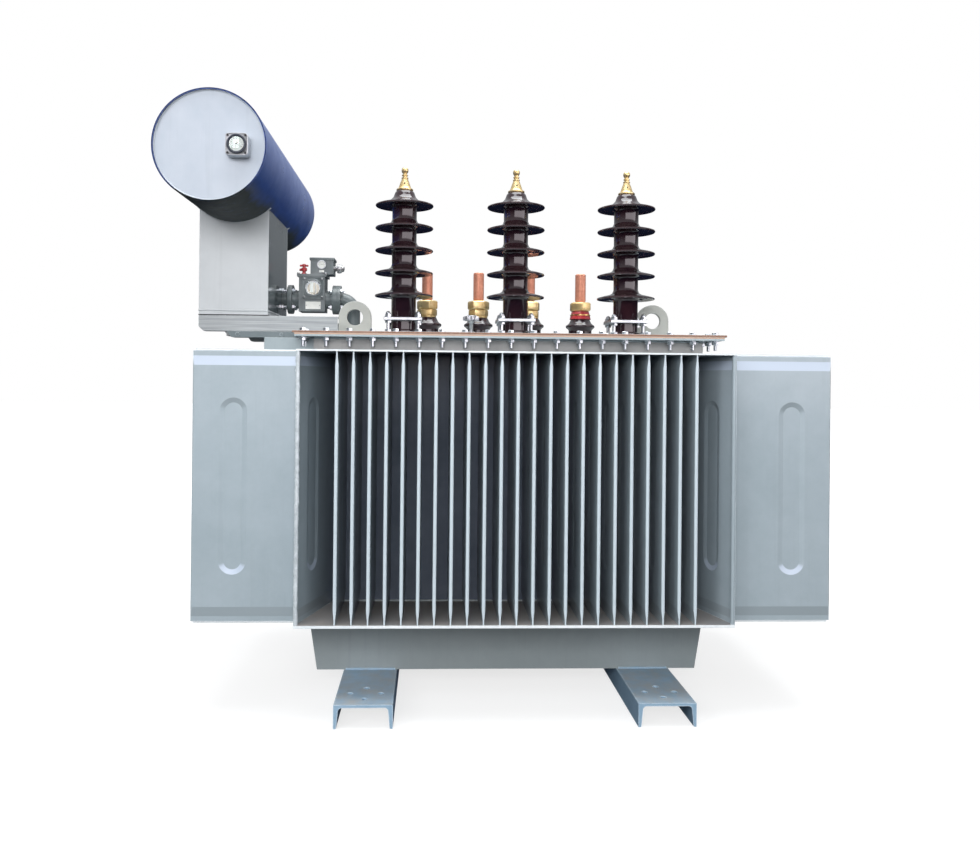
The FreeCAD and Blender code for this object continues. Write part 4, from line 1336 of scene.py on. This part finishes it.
# %% Drum rims and disc welds
drum_radius = (drum_high.x - drum_low.x) / 2
drum_front, drum_back = drum_low.y, drum_high.y
disc_inset = low("conservator_ends").y - drum_front
# The rims' nearly black paint is painted shade for the inside of the overhang; the gauge's dark ring
# wears it too.
dark_ring_and_rim_shade = enamel("dark_ring_and_rim_shade_paint", (0.030, 0.038, 0.055), (0.020, 0.024, 0.034), gloss=0.35, dusty=0.1,
                  bare=(0.22, 0.25, 0.30), wear=0.35, edge=0.0012, marks=0.0, broad=9.0)
rim_line = [(drum_radius - 0.0042, 0.0000), (drum_radius - 0.0042, 0.0012),
            (drum_radius - 0.0030, 0.0018), (drum_radius - 0.0006, 0.0018),
            (drum_radius - 0.0001, 0.0012), (drum_radius - 0.0001, -0.0030),
            (drum_radius - 0.0046, -disc_inset), (drum_radius - 0.0042, 0.0000)]
bead_line = [(drum_radius - 0.0078, 0.0), (drum_radius - 0.0072, 0.0014),
             (drum_radius - 0.0055, 0.0020), (drum_radius - 0.0042, 0.0034),
             (drum_radius - 0.0042, 0.0), (drum_radius - 0.0075, 0.0)]
rims, beads = [], []
for y, way in ((drum_front + 0.0018, 1), (drum_back - 0.0018, -1)):
    for line, kept, inward in ((rim_line, rims, 0.0), (bead_line, beads, disc_inset - 0.0018)):
        ring = lathe("ring", line, (0, 0, 0), steps=96, axis="-Y")
        if way < 0:
            ring.data.transform(Matrix.Rotation(math.pi, 4, "Z"))
        ring.data.transform(Matrix.Translation((drum_axis.x, y + way * inward, drum_axis.z)))
        kept.append(finish_piece(ring, smooth=60))
hand_over(join_all(rims, "drum_rims"), dark_ring_and_rim_shade, "conservator_blue")
hand_over(join_all(beads, "disc_weld_beads"), disc_paint, "pale_paint")

# %% [markdown]
# ## Level gauge
# The oil gauge is a square cast housing with rounded corners, held by four screws. A round
# glass stands over a white dial with generic marks, and a dark ring frames it.

# %% Gauge housing
gauge_low, gauge_high = low("level_gauge"), high("level_gauge")
gauge = (gauge_low + gauge_high) / 2
gauge_size = gauge_high.x - gauge_low.x
gauge_trim = 0.0048
gauge_front = gauge_low.y + gauge_trim
gauge_depth = gauge_high.y - gauge_front
housing = slab("gauge_housing", gauge + Vector((0, gauge_trim / 2, 0)),
               (gauge_size, gauge_depth, gauge_size))
pick(housing, running((0, 1, 0)), "EDGE")
bpy.ops.mesh.bevel(offset=0.009, segments=5)
pick(housing, facing((0, -1, 0)))
inset(0.0032)
push((0, 0.0022, 0))
housing = finish_piece(housing, 0.0009, 2)
hand_over(housing, cast_alloy, "gauge_aluminium", "level_gauge")

# %% [markdown]
# What lies in front of the housing is stacked outwards: the dial, its marks and needle, the
# glass and the ring. The marks are plain ticks, each made upright and turned about the dial.

# %% Gauge dial, glass, ring and screws
def on_front(name, x, z, out, radius, depth, sides=32):
    """A disc on the gauge's face; out is how far it stands in front of the housing."""
    return drum(name, (x, gauge_front - out + depth / 2, z), radius, depth, sides,
                (math.pi / 2, 0, 0))


ring_line = [(0.0195, 0.0), (0.0262, 0.0), (0.0262, 0.0030), (0.0250, 0.0046), (0.0222, 0.0050),
             (0.0205, 0.0040), (0.0195, 0.0022), (0.0195, 0.0)]
gauge_ring = lathe("gauge_ring", ring_line, (gauge.x, gauge_front + 0.0005, gauge.z), 64, "-Y")
hand_over(finish_piece(gauge_ring), dark_ring_and_rim_shade, "gauge_aluminium")
dial = on_front("gauge_dial", gauge.x, gauge.z, 0.0006, 0.0205, 0.0012, 48)
pick(dial, facing((0, -1, 0)))
inset(0.0022, -0.0003)
hand_over(finish_piece(dial), dial_white, "gauge_aluminium")

marks = []
for i in range(11):
    turn = math.radians(-120 + 24 * i)
    length = 0.0042 if i % 5 == 0 else 0.0026
    tick = slab("tick", (gauge.x, gauge_front - 0.0008, gauge.z + 0.0165 - length / 2),
                (0.0007 if i % 5 else 0.0011, 0.0004, length))
    marks.append(turned_about(finish_piece(tick), gauge, turn))
hub = finish_piece(on_front("hub", gauge.x, gauge.z, 0.0017, 0.0026, 0.0012, 20), 0.0003)
hand_over(join_all(marks + [hub], "gauge_marks"), dial_ink, "gauge_aluminium")
needle = slab("gauge_needle", (gauge.x, gauge_front - 0.0013, gauge.z + 0.005),
              (0.0013, 0.0004, 0.016))
pick(needle, facing((0, 0, 1)))
shrink((0.25, 1, 1), (gauge.x, gauge_front - 0.0013, gauge.z + 0.013))
needle = turned_about(finish_piece(needle), gauge, math.radians(38))
hand_over(needle, needle_red, "gauge_aluminium")
lens = lathe("gauge_glass", [(0.0, 0.0022), (0.0202, 0.0022), (0.0202, 0.0030), (0.0150, 0.0038),
                             (0.0, 0.0042)], (gauge.x, gauge_front + 0.0002, gauge.z), 40, "-Y")
hand_over(finish_piece(lens, smooth=60), glass, "gauge_aluminium")
screws = []
for dx in (-0.0235, 0.0235):
    for dz in (-0.0235, 0.0235):
        head = on_front("screw", gauge.x + dx, gauge.z + dz, 0.0026, 0.0030, 0.0045, 12)
        pick(head, facing((0, -1, 0)))
        inset(0.0012)
        push((0, 0.0012, 0))
        screws.append(finish_piece(head, 0.0003))
hand_over(join_all(screws, "gauge_screws"), dial_ink, "gauge_aluminium")

# %% [markdown]
# ## Welds
# Fillet welds show as slightly lumpy, rounded runs. A run starts as a thin eight-sided bar,
# is cut into short lengths, and is then disturbed by a Displace modifier with a fine cloud
# texture, which gives the ripples left by the welder's hand.

# %% Weld helper
ripple = bpy.data.textures.new("weld_ripple", "CLOUDS")
ripple.noise_scale = 0.008
ripple.noise_depth = 1


def weld_run(start, end, radius, lump=0.0022, cut_length=0.010):
    start, end = Vector(start), Vector(end)
    way = end - start
    turn = way.to_track_quat("Z", "Y").to_euler()
    run = drum("weld", (start + end) / 2, radius, way.length, 8, turn)
    cuts = max(1, int(way.length / cut_length))
    pick(run, running((0, 0, 1)), "EDGE")
    bpy.ops.mesh.subdivide(number_cuts=cuts)
    run = finish_piece(run, smooth=60)
    lumps = run.modifiers.new("lumps", "DISPLACE")
    lumps.texture = ripple
    lumps.texture_coords = "LOCAL"
    lumps.strength = lump
    lumps.mid_level = 0.6
    make_active(run)
    bpy.ops.object.modifier_apply(modifier=lumps.name)
    return run


# %% [markdown]
# The upright edges of the fin bank, the foot of the fins and the edges of the rim and of the
# lower fin plate are welded. The left upright edges are beaded and the right ones smooth.

# %% Tank welds
half_length = (high("tank_body").x - low("tank_body").x) / 2
wall = (high("tank_body").y - low("tank_body").y) / 2
plate_low = low("front_fin_plates").z
long_tip = -low("front_fins").y
fin_low, fin_high = low("front_fins").z, high("front_fins").z
left_end, right_end = tank_x - half_length, tank_x + half_length
corner_strips, runs = [], []
for y in (-1, 1):
    tip = y * (long_tip - 0.004)
    corner_strips.append(weld_run((left_end + 0.005, tip, fin_low),
                                  (left_end + 0.005, tip, fin_high), 0.0068, 0.0045, 0.006))
    corner_strips.append(weld_run((right_end - 0.0055, tip, fin_low),
                                  (right_end - 0.0055, tip, fin_high), 0.0062, 0.0008))
hand_over(join_all(corner_strips[0::2], "beaded_corner_strips"), weld_metal, "fin_paint")
hand_over(join_all(corner_strips[1::2], "smooth_corner_strips"), fin_paint, "fin_paint")
root_runs = []
for y in (-1, 1):
    root_runs.append(weld_run((left_end + 0.08, y * (wall + 0.001), fin_low + 0.001),
                              (right_end - 0.08, y * (wall + 0.001), fin_low + 0.001), 0.004,
                              0.005, 0.008))
hand_over(join_all(root_runs, "fin_root_welds"), weld_metal, "fin_paint")

box_low, rim_low = low("tank_bottom_box").z, low("tank_rim").z
rim_front = -low("tank_rim").y
rim_x = (high("tank_rim").x - low("tank_rim").x) / 2
for y in (-1, 1):
    runs.append(weld_run((tank_x - rim_x, y * rim_front, rim_low + 0.002),
                         (tank_x + rim_x, y * rim_front, rim_low + 0.002), 0.0035))
    runs.append(weld_run((tank_x - rim_x, y * rim_front, flange_low - 0.002),
                         (tank_x + rim_x, y * rim_front, flange_low - 0.002), 0.003))
    runs.append(weld_run((left_end + 0.01, y * wall, plate_low - 0.002),
                         (right_end - 0.01, y * wall, plate_low - 0.002), 0.0035))
for x in (-1, 1):
    runs.append(weld_run((tank_x + x * rim_x, -rim_front, rim_low + 0.002),
                         (tank_x + x * rim_x, rim_front, rim_low + 0.002), 0.0035))
hand_over(join_all(runs, "tank_welds"), tank_paint, "tank_paint")

# %% [markdown]
# The channels are welded to the bottom box where they pass under the tank's walls, and each
# lifting lug is welded to the cover along both of its faces.

# %% Channel and lug welds
runs = []
for side in ("left", "right"):
    channel_low, channel_high = low(f"base_channel_{side}"), high(f"base_channel_{side}")
    for y in (-wall, wall):
        runs.append(weld_run((channel_low.x + 0.006, y, box_low + 0.002),
                             (channel_high.x - 0.006, y, box_low + 0.002), 0.0042, 0.003))
hand_over(join_all(runs, "channel_welds"), channel_paint, "channel_paint")

runs = []
lug_low, lug_high = low("lifting_lugs"), high("lifting_lugs")
lug_radius = 0.053
lug_width = 2 * lug_radius
for x in (lug_low.x, lug_high.x - lug_width):
    for y in (lug_low.y, lug_high.y):
        runs.append(weld_run((x + 0.002, y, cover_top + 0.002),
                             (x + lug_width - 0.002, y, cover_top + 0.002), 0.004, 0.003))
hand_over(join_all(runs, "lug_welds"), lug_paint, "tank_paint")
print("weld pieces:", sum("weld" in p.name or "strips" in p.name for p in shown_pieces()))

# %% [markdown]
# ## Gas relay
# The relay sits in the pipe between the tank and the conservator. Its casting has a square
# window frame with a round sight glass, a blank plate below it, and a head box on its lid with
# a small dial, a cable gland and a test cock. The frame, plate and head fittings are built
# against the faces of the CAD castings.

# %% Relay places
relay_low, relay_high = low("relay_body"), high("relay_body")
head_low, head_high = low("relay_head"), high("relay_head")
axis_height, casting_reach = 0.0485, 0.040
relay_axis = relay_low.z + axis_height
relay_middle = middle("relay_body")
relay_front = relay_middle.y - casting_reach
window = Vector((relay_middle.x + 0.0045, relay_front, relay_axis + 0.036))
print("relay axis height:", round(relay_axis, 4), "front:", round(relay_front, 4))

# %% [markdown]
# The frame is a plate with rounded corners and a sunken face. A turned ring holds the glass.

# %% Window frame with its sight glass
frame_plate = slab("window_frame", window + Vector((0, -0.0025, 0)), (0.072, 0.007, 0.074))
pick(frame_plate, running((0, 1, 0)), "EDGE")
bpy.ops.mesh.bevel(offset=0.005, segments=3)
pick(frame_plate, facing((0, -1, 0)))
inset(0.0035)
push((0, 0.0012, 0))
frame_plate = finish_piece(frame_plate, 0.0008)
collar_line = [(0.0240, 0.0), (0.0300, 0.0), (0.0300, 0.0040), (0.0288, 0.0054),
               (0.0262, 0.0056), (0.0246, 0.0044), (0.0240, 0.0020), (0.0240, 0.0)]
window_face = window.y - 0.0055
collar = lathe("window_ring", collar_line, (window.x, window_face + 0.001, window.z), 56, "-Y")
collar = finish_piece(collar)
hand_over(join_all([frame_plate, collar], "relay_window_frame"), relay_paint, "relay_grey")

pane = lathe("relay_sight_glass", [(0.0, 0.0034), (0.0243, 0.0034), (0.0243, 0.0044),
                                   (0.015, 0.0052), (0.0, 0.0056)],
             (window.x, window_face, window.z), 40, "-Y")
hand_over(finish_piece(pane, smooth=60), glass, "relay_grey")

# %% [markdown]
# Behind the glass are a mottled back, a float arm, a graduated strip and a film of oil.

# %% Behind the glass
back = drum("relay_window_back", (window.x, window_face + 0.0008, window.z), 0.0244, 0.0016, 40,
            (math.pi / 2, 0, 0))
pick(back, facing((0, -1, 0)))
inset(0.003, -0.0004)
back = finish_piece(back)
hand_over(back, oil_grey, "relay_grey")
strip = slab("relay_scale_strip", (window.x - 0.004, window_face - 0.0006, window.z + 0.002),
             (0.011, 0.0010, 0.034))
strip = finish_piece(strip, 0.0003)
hand_over(strip, dial_white, "relay_grey")
bars = []
for i in range(8):
    bar = slab("bar", (window.x - 0.0065 + (0.001 if i % 2 else 0.002), window_face - 0.0012,
                       window.z - 0.0125 + i * 0.004), (0.004 if i % 2 else 0.007, 0.0004, 0.0008))
    bars.append(finish_piece(bar))
float_arm = slab("arm", (window.x + 0.0085, window_face - 0.0010, window.z - 0.003),
                 (0.0032, 0.0012, 0.030))
float_arm = finish_piece(float_arm, 0.0004)
hand_over(join_all(bars + [float_arm], "relay_scale_marks"), dial_ink, "relay_grey")
oil = lathe("relay_oil", [(0.0, 0.0), (0.0200, 0.0), (0.0195, 0.0008), (0.0, 0.0009)],
            (window.x + 0.001, window_face - 0.0002, window.z - 0.003), 32, "-Y")
hand_over(finish_piece(oil), oil_amber, "relay_grey")

# %% [markdown]
# Four screws hold the window frame and two hold the plate below it. The plate is left blank.

# %% Corner screws and the blank plate
def face_screw(x, y, z, radius=0.0034):
    """A round-headed screw on a face that looks to the front."""
    line = [(0.0, -0.001), (radius, -0.001), (radius, 0.0010), (radius * 0.75, 0.0022),
            (0.0, 0.0028)]
    return finish_piece(lathe("screw", line, (x, y, z), 14, "-Y"), smooth=60)


screws = []
for dx in (-0.029, 0.029):
    for dz in (-0.030, 0.030):
        screws.append(face_screw(window.x + dx, window_face, window.z + dz, 0.0038))
plate = Vector((window.x, relay_front, relay_low.z + 0.0265))
for dx in (-0.022, 0.022):
    screws.append(face_screw(plate.x + dx, relay_front - 0.0015, plate.z, 0.0018))
hand_over(join_all(screws, "relay_screws"), dull_zinc, "zinc_steel")
blank = slab("relay_blank_plate", plate + Vector((0, -0.0006, 0)), (0.050, 0.0018, 0.025))
pick(blank, facing((0, -1, 0)))
inset(0.0015)
push((0, 0.0004, 0))
hand_over(finish_piece(blank, 0.0003), dial_white, "gauge_aluminium")

# %% [markdown]
# Each pipe flange is clamped to the relay's by four through bolts. One bolt is made along X
# and copied round the pipe's axis.

# %% Flange bolts
pipe_y = relay_middle.y
flange_bolts = []
for joint_x, way in ((relay_low.x, -1), (relay_high.x, 1)):
    inner = joint_x - way * 0.015
    outer = joint_x + way * 0.012
    centre = Vector((joint_x, pipe_y, relay_axis))
    turn_x = (0, math.pi / 2, 0)
    at = Vector((0, -0.0265, 0.0265))
    shank = finish_piece(drum("shank", centre + at + Vector((-way * 0.002, 0, 0)), 0.0042, 0.050,
                              12, turn_x))
    head = finish_piece(hex_body("head", (outer + way * 0.004, pipe_y - 0.0265,
                                          relay_axis + 0.0265), 0.015, 0.007, 0.001, turn_x))
    nut = finish_piece(hex_body("nut", (inner - way * 0.0045, pipe_y - 0.0265,
                                        relay_axis + 0.0265), 0.015, 0.008, 0.001, turn_x))
    bolt = join_all([shank, head, nut], "flange_bolt")
    flange_bolts.append(bolt)
    for i in range(1, 4):
        flange_bolts.append(copy_to(bolt, (0, 0, 0), Matrix.Rotation(math.pi / 2 * i, 4, "X"),
                                    centre))
hand_over(join_all(flange_bolts, "relay_flange_bolts"), zinc, "zinc_steel")

# %% [markdown]
# A thin rubber joint ring shows as a dark line between each pair of flanges.

# %% Joint rings
rings = []
for joint_x in (relay_low.x, relay_high.x):
    ring_line = [(0.026, -0.0012), (0.0470, -0.0012), (0.0488, 0.0), (0.0470, 0.0012),
                 (0.026, 0.0012), (0.026, -0.0012)]
    rings.append(finish_piece(lathe("ring", ring_line, (joint_x, pipe_y, relay_axis), 56, "X")))
hand_over(join_all(rings, "relay_joint_rings"), black_rubber_and_hole_shade, "cork_rubber")

# %% [markdown]
# Small hexagonal screws hold the relay's lid down, three along each end.

# %% Lid screws
lid_top = head_low.z
lid_bolts = []
for dx in (-0.044, 0.044):
    for dy in (-0.041, 0.0, 0.041):
        x, y = relay_middle.x + dx, relay_middle.y + dy
        lid_bolts.append(finish_piece(hex_body("lid_bolt", (x, y, lid_top + 0.0022), 0.0095,
                                               0.0046, 0.0008)))
hand_over(join_all(lid_bolts, "relay_lid_bolts"), dull_zinc, "zinc_steel")

# %% [markdown]
# The head box carries a small round dial, framed by a turned ring, with a blank tab under it.

# %% Head dial
head_front = head_low.y
head_middle = middle("relay_head")
dial_at = Vector((head_middle.x - 0.001, head_front, head_low.z + 0.0325))
ring_line = [(0.0115, 0.0), (0.0150, 0.0), (0.0150, 0.0030), (0.0140, 0.0042), (0.0120, 0.0042),
             (0.0115, 0.0030), (0.0115, 0.0)]
small_ring = lathe("head_dial_ring", ring_line, dial_at, 40, "-Y")
hand_over(finish_piece(small_ring), cast_alloy, "gauge_aluminium")
face_line = [(0.0, 0.0010), (0.0118, 0.0010), (0.0118, 0.0022), (0.0, 0.0024)]
hand_over(finish_piece(lathe("head_dial", face_line, dial_at, 32, "-Y")), dial_white,
          "gauge_aluminium")
marks = []
for i in range(8):
    tick = slab("tick", dial_at + Vector((0, -0.0026, 0.0088)), (0.0007, 0.0003, 0.0022))
    marks.append(turned_about(finish_piece(tick), dial_at, math.radians(-126 + 36 * i)))
pointer = finish_piece(slab("pointer", dial_at + Vector((0.002, -0.0026, 0.001)),
                            (0.010, 0.0004, 0.0009)))
hand_over(join_all(marks + [pointer], "head_dial_marks"), dial_ink, "gauge_aluminium")
tab = slab("head_blank_tab", (dial_at.x, head_front - 0.0006, head_low.z + 0.0105),
           (0.016, 0.0016, 0.0075))
pick(tab, facing((0, -1, 0)))
inset(0.0010)
push((0, 0.0003, 0))
hand_over(finish_piece(tab, 0.0002), dial_white, "gauge_aluminium")

# %% [markdown]
# The head's lid overhangs a little, and the cable gland on its right side is a ribbed silver
# nut with a domed cap. The test cock on the relay's lid is painted red, with a tee handle.

# %% Head lid and cable gland
lid = slab("relay_head_lid", (head_middle.x, head_middle.y, head_high.z - 0.0045),
           (head_high.x - head_low.x + 0.006, head_high.y - head_low.y + 0.006, 0.008))
pick(lid, facing((0, 0, 1)))
inset(0.006)
push((0, 0, 0.0012))
hand_over(finish_piece(lid, 0.0015, 3), relay_paint, "relay_grey")
gland_line = [(0.0, 0.0), (0.0095, 0.0), (0.0095, 0.006), (0.0085, 0.007), (0.0085, 0.010),
              (0.0140, 0.0105), (0.0145, 0.0125), (0.0145, 0.0230), (0.0135, 0.0250),
              (0.0110, 0.0255), (0.0112, 0.0290), (0.0095, 0.0325), (0.0050, 0.0345), (0.0, 0.035)]
gland_at = (head_high.x, head_middle.y - 0.012, head_low.z + 0.022)
gland = finish_piece(lathe("cable_gland", gland_line, gland_at, 28, "X"), smooth=40)
ribs = []
rib_count = 12
for i in range(rib_count):
    rib = slab("rib", Vector(gland_at) + Vector((0.0178, 0, 0.0146)), (0.0095, 0.0022, 0.0016))
    ribs.append(turned_about(finish_piece(rib, 0.0004, 1), gland_at, math.tau * i / rib_count, "X"))
hand_over(join_all([gland] + ribs, "cable_gland"), dull_zinc, "zinc_steel")

# %% [markdown]
# The cock is one turned body with a tee bar through its top and a short spout to the left.

# %% Red test cock
cock_at = Vector((relay_middle.x - 0.0285, relay_middle.y - 0.024, lid_top))
cock_line = [(0.0, 0.0), (0.0085, 0.0), (0.0085, 0.004), (0.0055, 0.006), (0.0055, 0.010),
             (0.0095, 0.012), (0.0100, 0.019), (0.0085, 0.022), (0.0050, 0.023), (0.0050, 0.026),
             (0.0070, 0.027), (0.0070, 0.033), (0.0045, 0.035), (0.0, 0.0355)]
cock = finish_piece(lathe("test_cock", cock_line, cock_at, 28), smooth=40)
tee = finish_piece(drum("tee", cock_at + Vector((0, 0, 0.0295)), 0.0034, 0.028, 16,
                        (0, math.pi / 2, 0)), 0.0008)
spout = finish_piece(drum("spout", cock_at + Vector((-0.009, 0, 0.0155)), 0.0042, 0.012, 16,
                          (0, math.pi / 2, 0)), 0.0008)
hand_over(join_all([cock, tee, spout], "test_cock"), red_paint, "red_paint")

# %% [markdown]
# ## Pedestal and platform
# The pedestal is a folded box welded to a foot plate, which stands on the platform with a thin
# dark joint under it. Thin welds run round the foot of the box.

# %% Foot joint and pedestal welds
foot_low, foot_high = low("pedestal_foot"), high("pedestal_foot")
foot_middle = (foot_low + foot_high) / 2
joint = slab("foot_joint", (foot_middle.x, foot_middle.y, foot_low.z + 0.0012),
             (foot_high.x - foot_low.x + 0.0012, foot_high.y - foot_low.y + 0.0012, 0.0032))
pick(joint, facing((0, 0, 1)))
inset(0.004)
hand_over(finish_piece(joint, 0.0005), black_rubber_and_hole_shade, "cork_rubber")

pedestal_low, pedestal_high = low("pedestal_faces"), high("pedestal_faces")
runs = []
for y in (pedestal_low.y, pedestal_high.y):
    runs.append(weld_run((pedestal_low.x + 0.002, y, foot_high.z + 0.001),
                         (pedestal_high.x - 0.002, y, foot_high.z + 0.001), 0.0028, 0.0018))
for x in (pedestal_low.x, pedestal_high.x):
    runs.append(weld_run((x, pedestal_low.y + 0.008, foot_high.z + 0.001),
                         (x, pedestal_high.y - 0.008, foot_high.z + 0.001), 0.0028, 0.0018))
hand_over(join_all(runs, "pedestal_welds"), pale_paint, "pale_paint")

# %% [markdown]
# Where the drum rests in the pedestal, a weld follows the curve of its underside. It is a
# lathe ring about the drum's axis, cut off above the pedestal with a bisect.

# %% Saddle welds
saddles = []
for y, way in ((pedestal_low.y, -1), (pedestal_high.y, 1)):
    line = [(drum_radius - 0.001, -0.0030), (drum_radius + 0.0018, -0.0024),
            (drum_radius + 0.0028, 0.0), (drum_radius + 0.0018, 0.0024),
            (drum_radius - 0.001, 0.0030), (drum_radius - 0.001, -0.0030)]
    ring = lathe("saddle", line, (drum_axis.x, y, drum_axis.z), 120, "-Y")
    make_active(ring)
    pick(ring, lambda f: True)
    bpy.ops.mesh.bisect(plane_co=(0, 0, pedestal_high.z + 0.004), plane_no=(0, 0, 1),
                        clear_outer=True, use_fill=True)
    saddles.append(finish_piece(ring, smooth=60))
hand_over(join_all(saddles, "saddle_welds"), pale_paint, "pale_paint")

# %% [markdown]
# The front arm has one bolt near each end, painted over together with the arm.

# %% Platform bolts
arm_low, arm_high = low("platform_arms"), high("platform_arms")
arm_z = (arm_low.z + arm_high.z) / 2
turn_y = (math.pi / 2, 0, 0)
left_inset, right_inset = 0.033, 0.045
bolts = []
for x in (arm_low.x + left_inset, arm_high.x - right_inset):
    head = hex_body("arm_bolt", (x, arm_low.y - 0.002, arm_z), 0.010, 0.005, 0.001, turn_y)
    ring = washer("arm_ring", (x, arm_low.y - 0.0004, arm_z), 0.0066, 0.0012, turn_y)
    bolts += [finish_piece(head), ring]
hand_over(join_all(bolts, "arm_bolts"), arm_paint, "channel_paint")

# %% [markdown]
# ## Base channels
# The two base channels are hot-rolled sections laid open side down. A rolled channel has
# rounded inner corners and flanges that thin towards their toes, so its end outline is drawn
# point by point, extruded along the channel, and drilled with a Boolean modifier.

# %% Rolled channel outline
def channel_outline(width, height):
    """Half the end outline from the web's middle to the toe and back, as (x, z) points."""
    web, root, toe, inner = 0.0085, 0.0125, 0.0085, 0.010
    half = width / 2
    points = [(0.0, height), (half - 0.0015, height), (half, height - 0.0015),
              (half, 0.0006), (half - 0.0006, 0.0), (half - toe + 0.003, 0.0),
              (half - toe + 0.0008, 0.0010), (half - toe, 0.0035)]
    corner = (half - root - inner, height - web - inner)
    for i in range(7):
        turn = math.pi / 2 * i / 6
        points.append((corner[0] + inner * math.cos(turn), corner[1] + inner * math.sin(turn)))
    return points + [(0.0, height - web)]


# %% [markdown]
# The outline becomes one face and is pushed along the channel. All eight drills are joined into
# one piece, so that a single Boolean cuts the holes of both ends.

# %% Two drilled channels
hole_inset, hole_circle, hole_radius = 0.088, 0.0425, 0.0085
for side in ("left", "right"):
    node = f"base_channel_{side}"
    start, end = low(node), high(node)
    centre_x = (start.x + end.x) / 2
    half_line = channel_outline(end.x - start.x, end.z)
    whole = half_line + [(-x, z) for x, z in reversed(half_line[1:-1])]
    channel, mesh = empty_piece(f"rolled_channel_{side}")
    corners = [mesh.verts.new((centre_x + x, start.y, z)) for x, z in whole]
    mesh.faces.new(corners).select_set(True)
    bmesh.update_edit_mesh(channel.data)
    push((0, end.y - start.y, 0))
    bpy.ops.mesh.select_all(action="SELECT")
    bpy.ops.mesh.normals_make_consistent(inside=False)
    leave_edit_mode()
    drills = []
    for y in (start.y + hole_inset, end.y - hole_inset):
        for i in range(4):
            turn = math.pi / 2 * i
            at = (centre_x + hole_circle * math.cos(turn), y + hole_circle * math.sin(turn), end.z)
            drills.append(drum("drill", at, hole_radius, 0.04, 28))
    drill = join_all(drills, "drill")
    holes = channel.modifiers.new("holes", "BOOLEAN")
    holes.operation = "DIFFERENCE"
    holes.solver = "EXACT"
    holes.object = drill
    make_active(channel)
    bpy.ops.object.modifier_apply(modifier=holes.name)
    bpy.data.objects.remove(drill)
    hand_over(finish_piece(channel, smooth=30), channel_paint, "channel_paint", node)
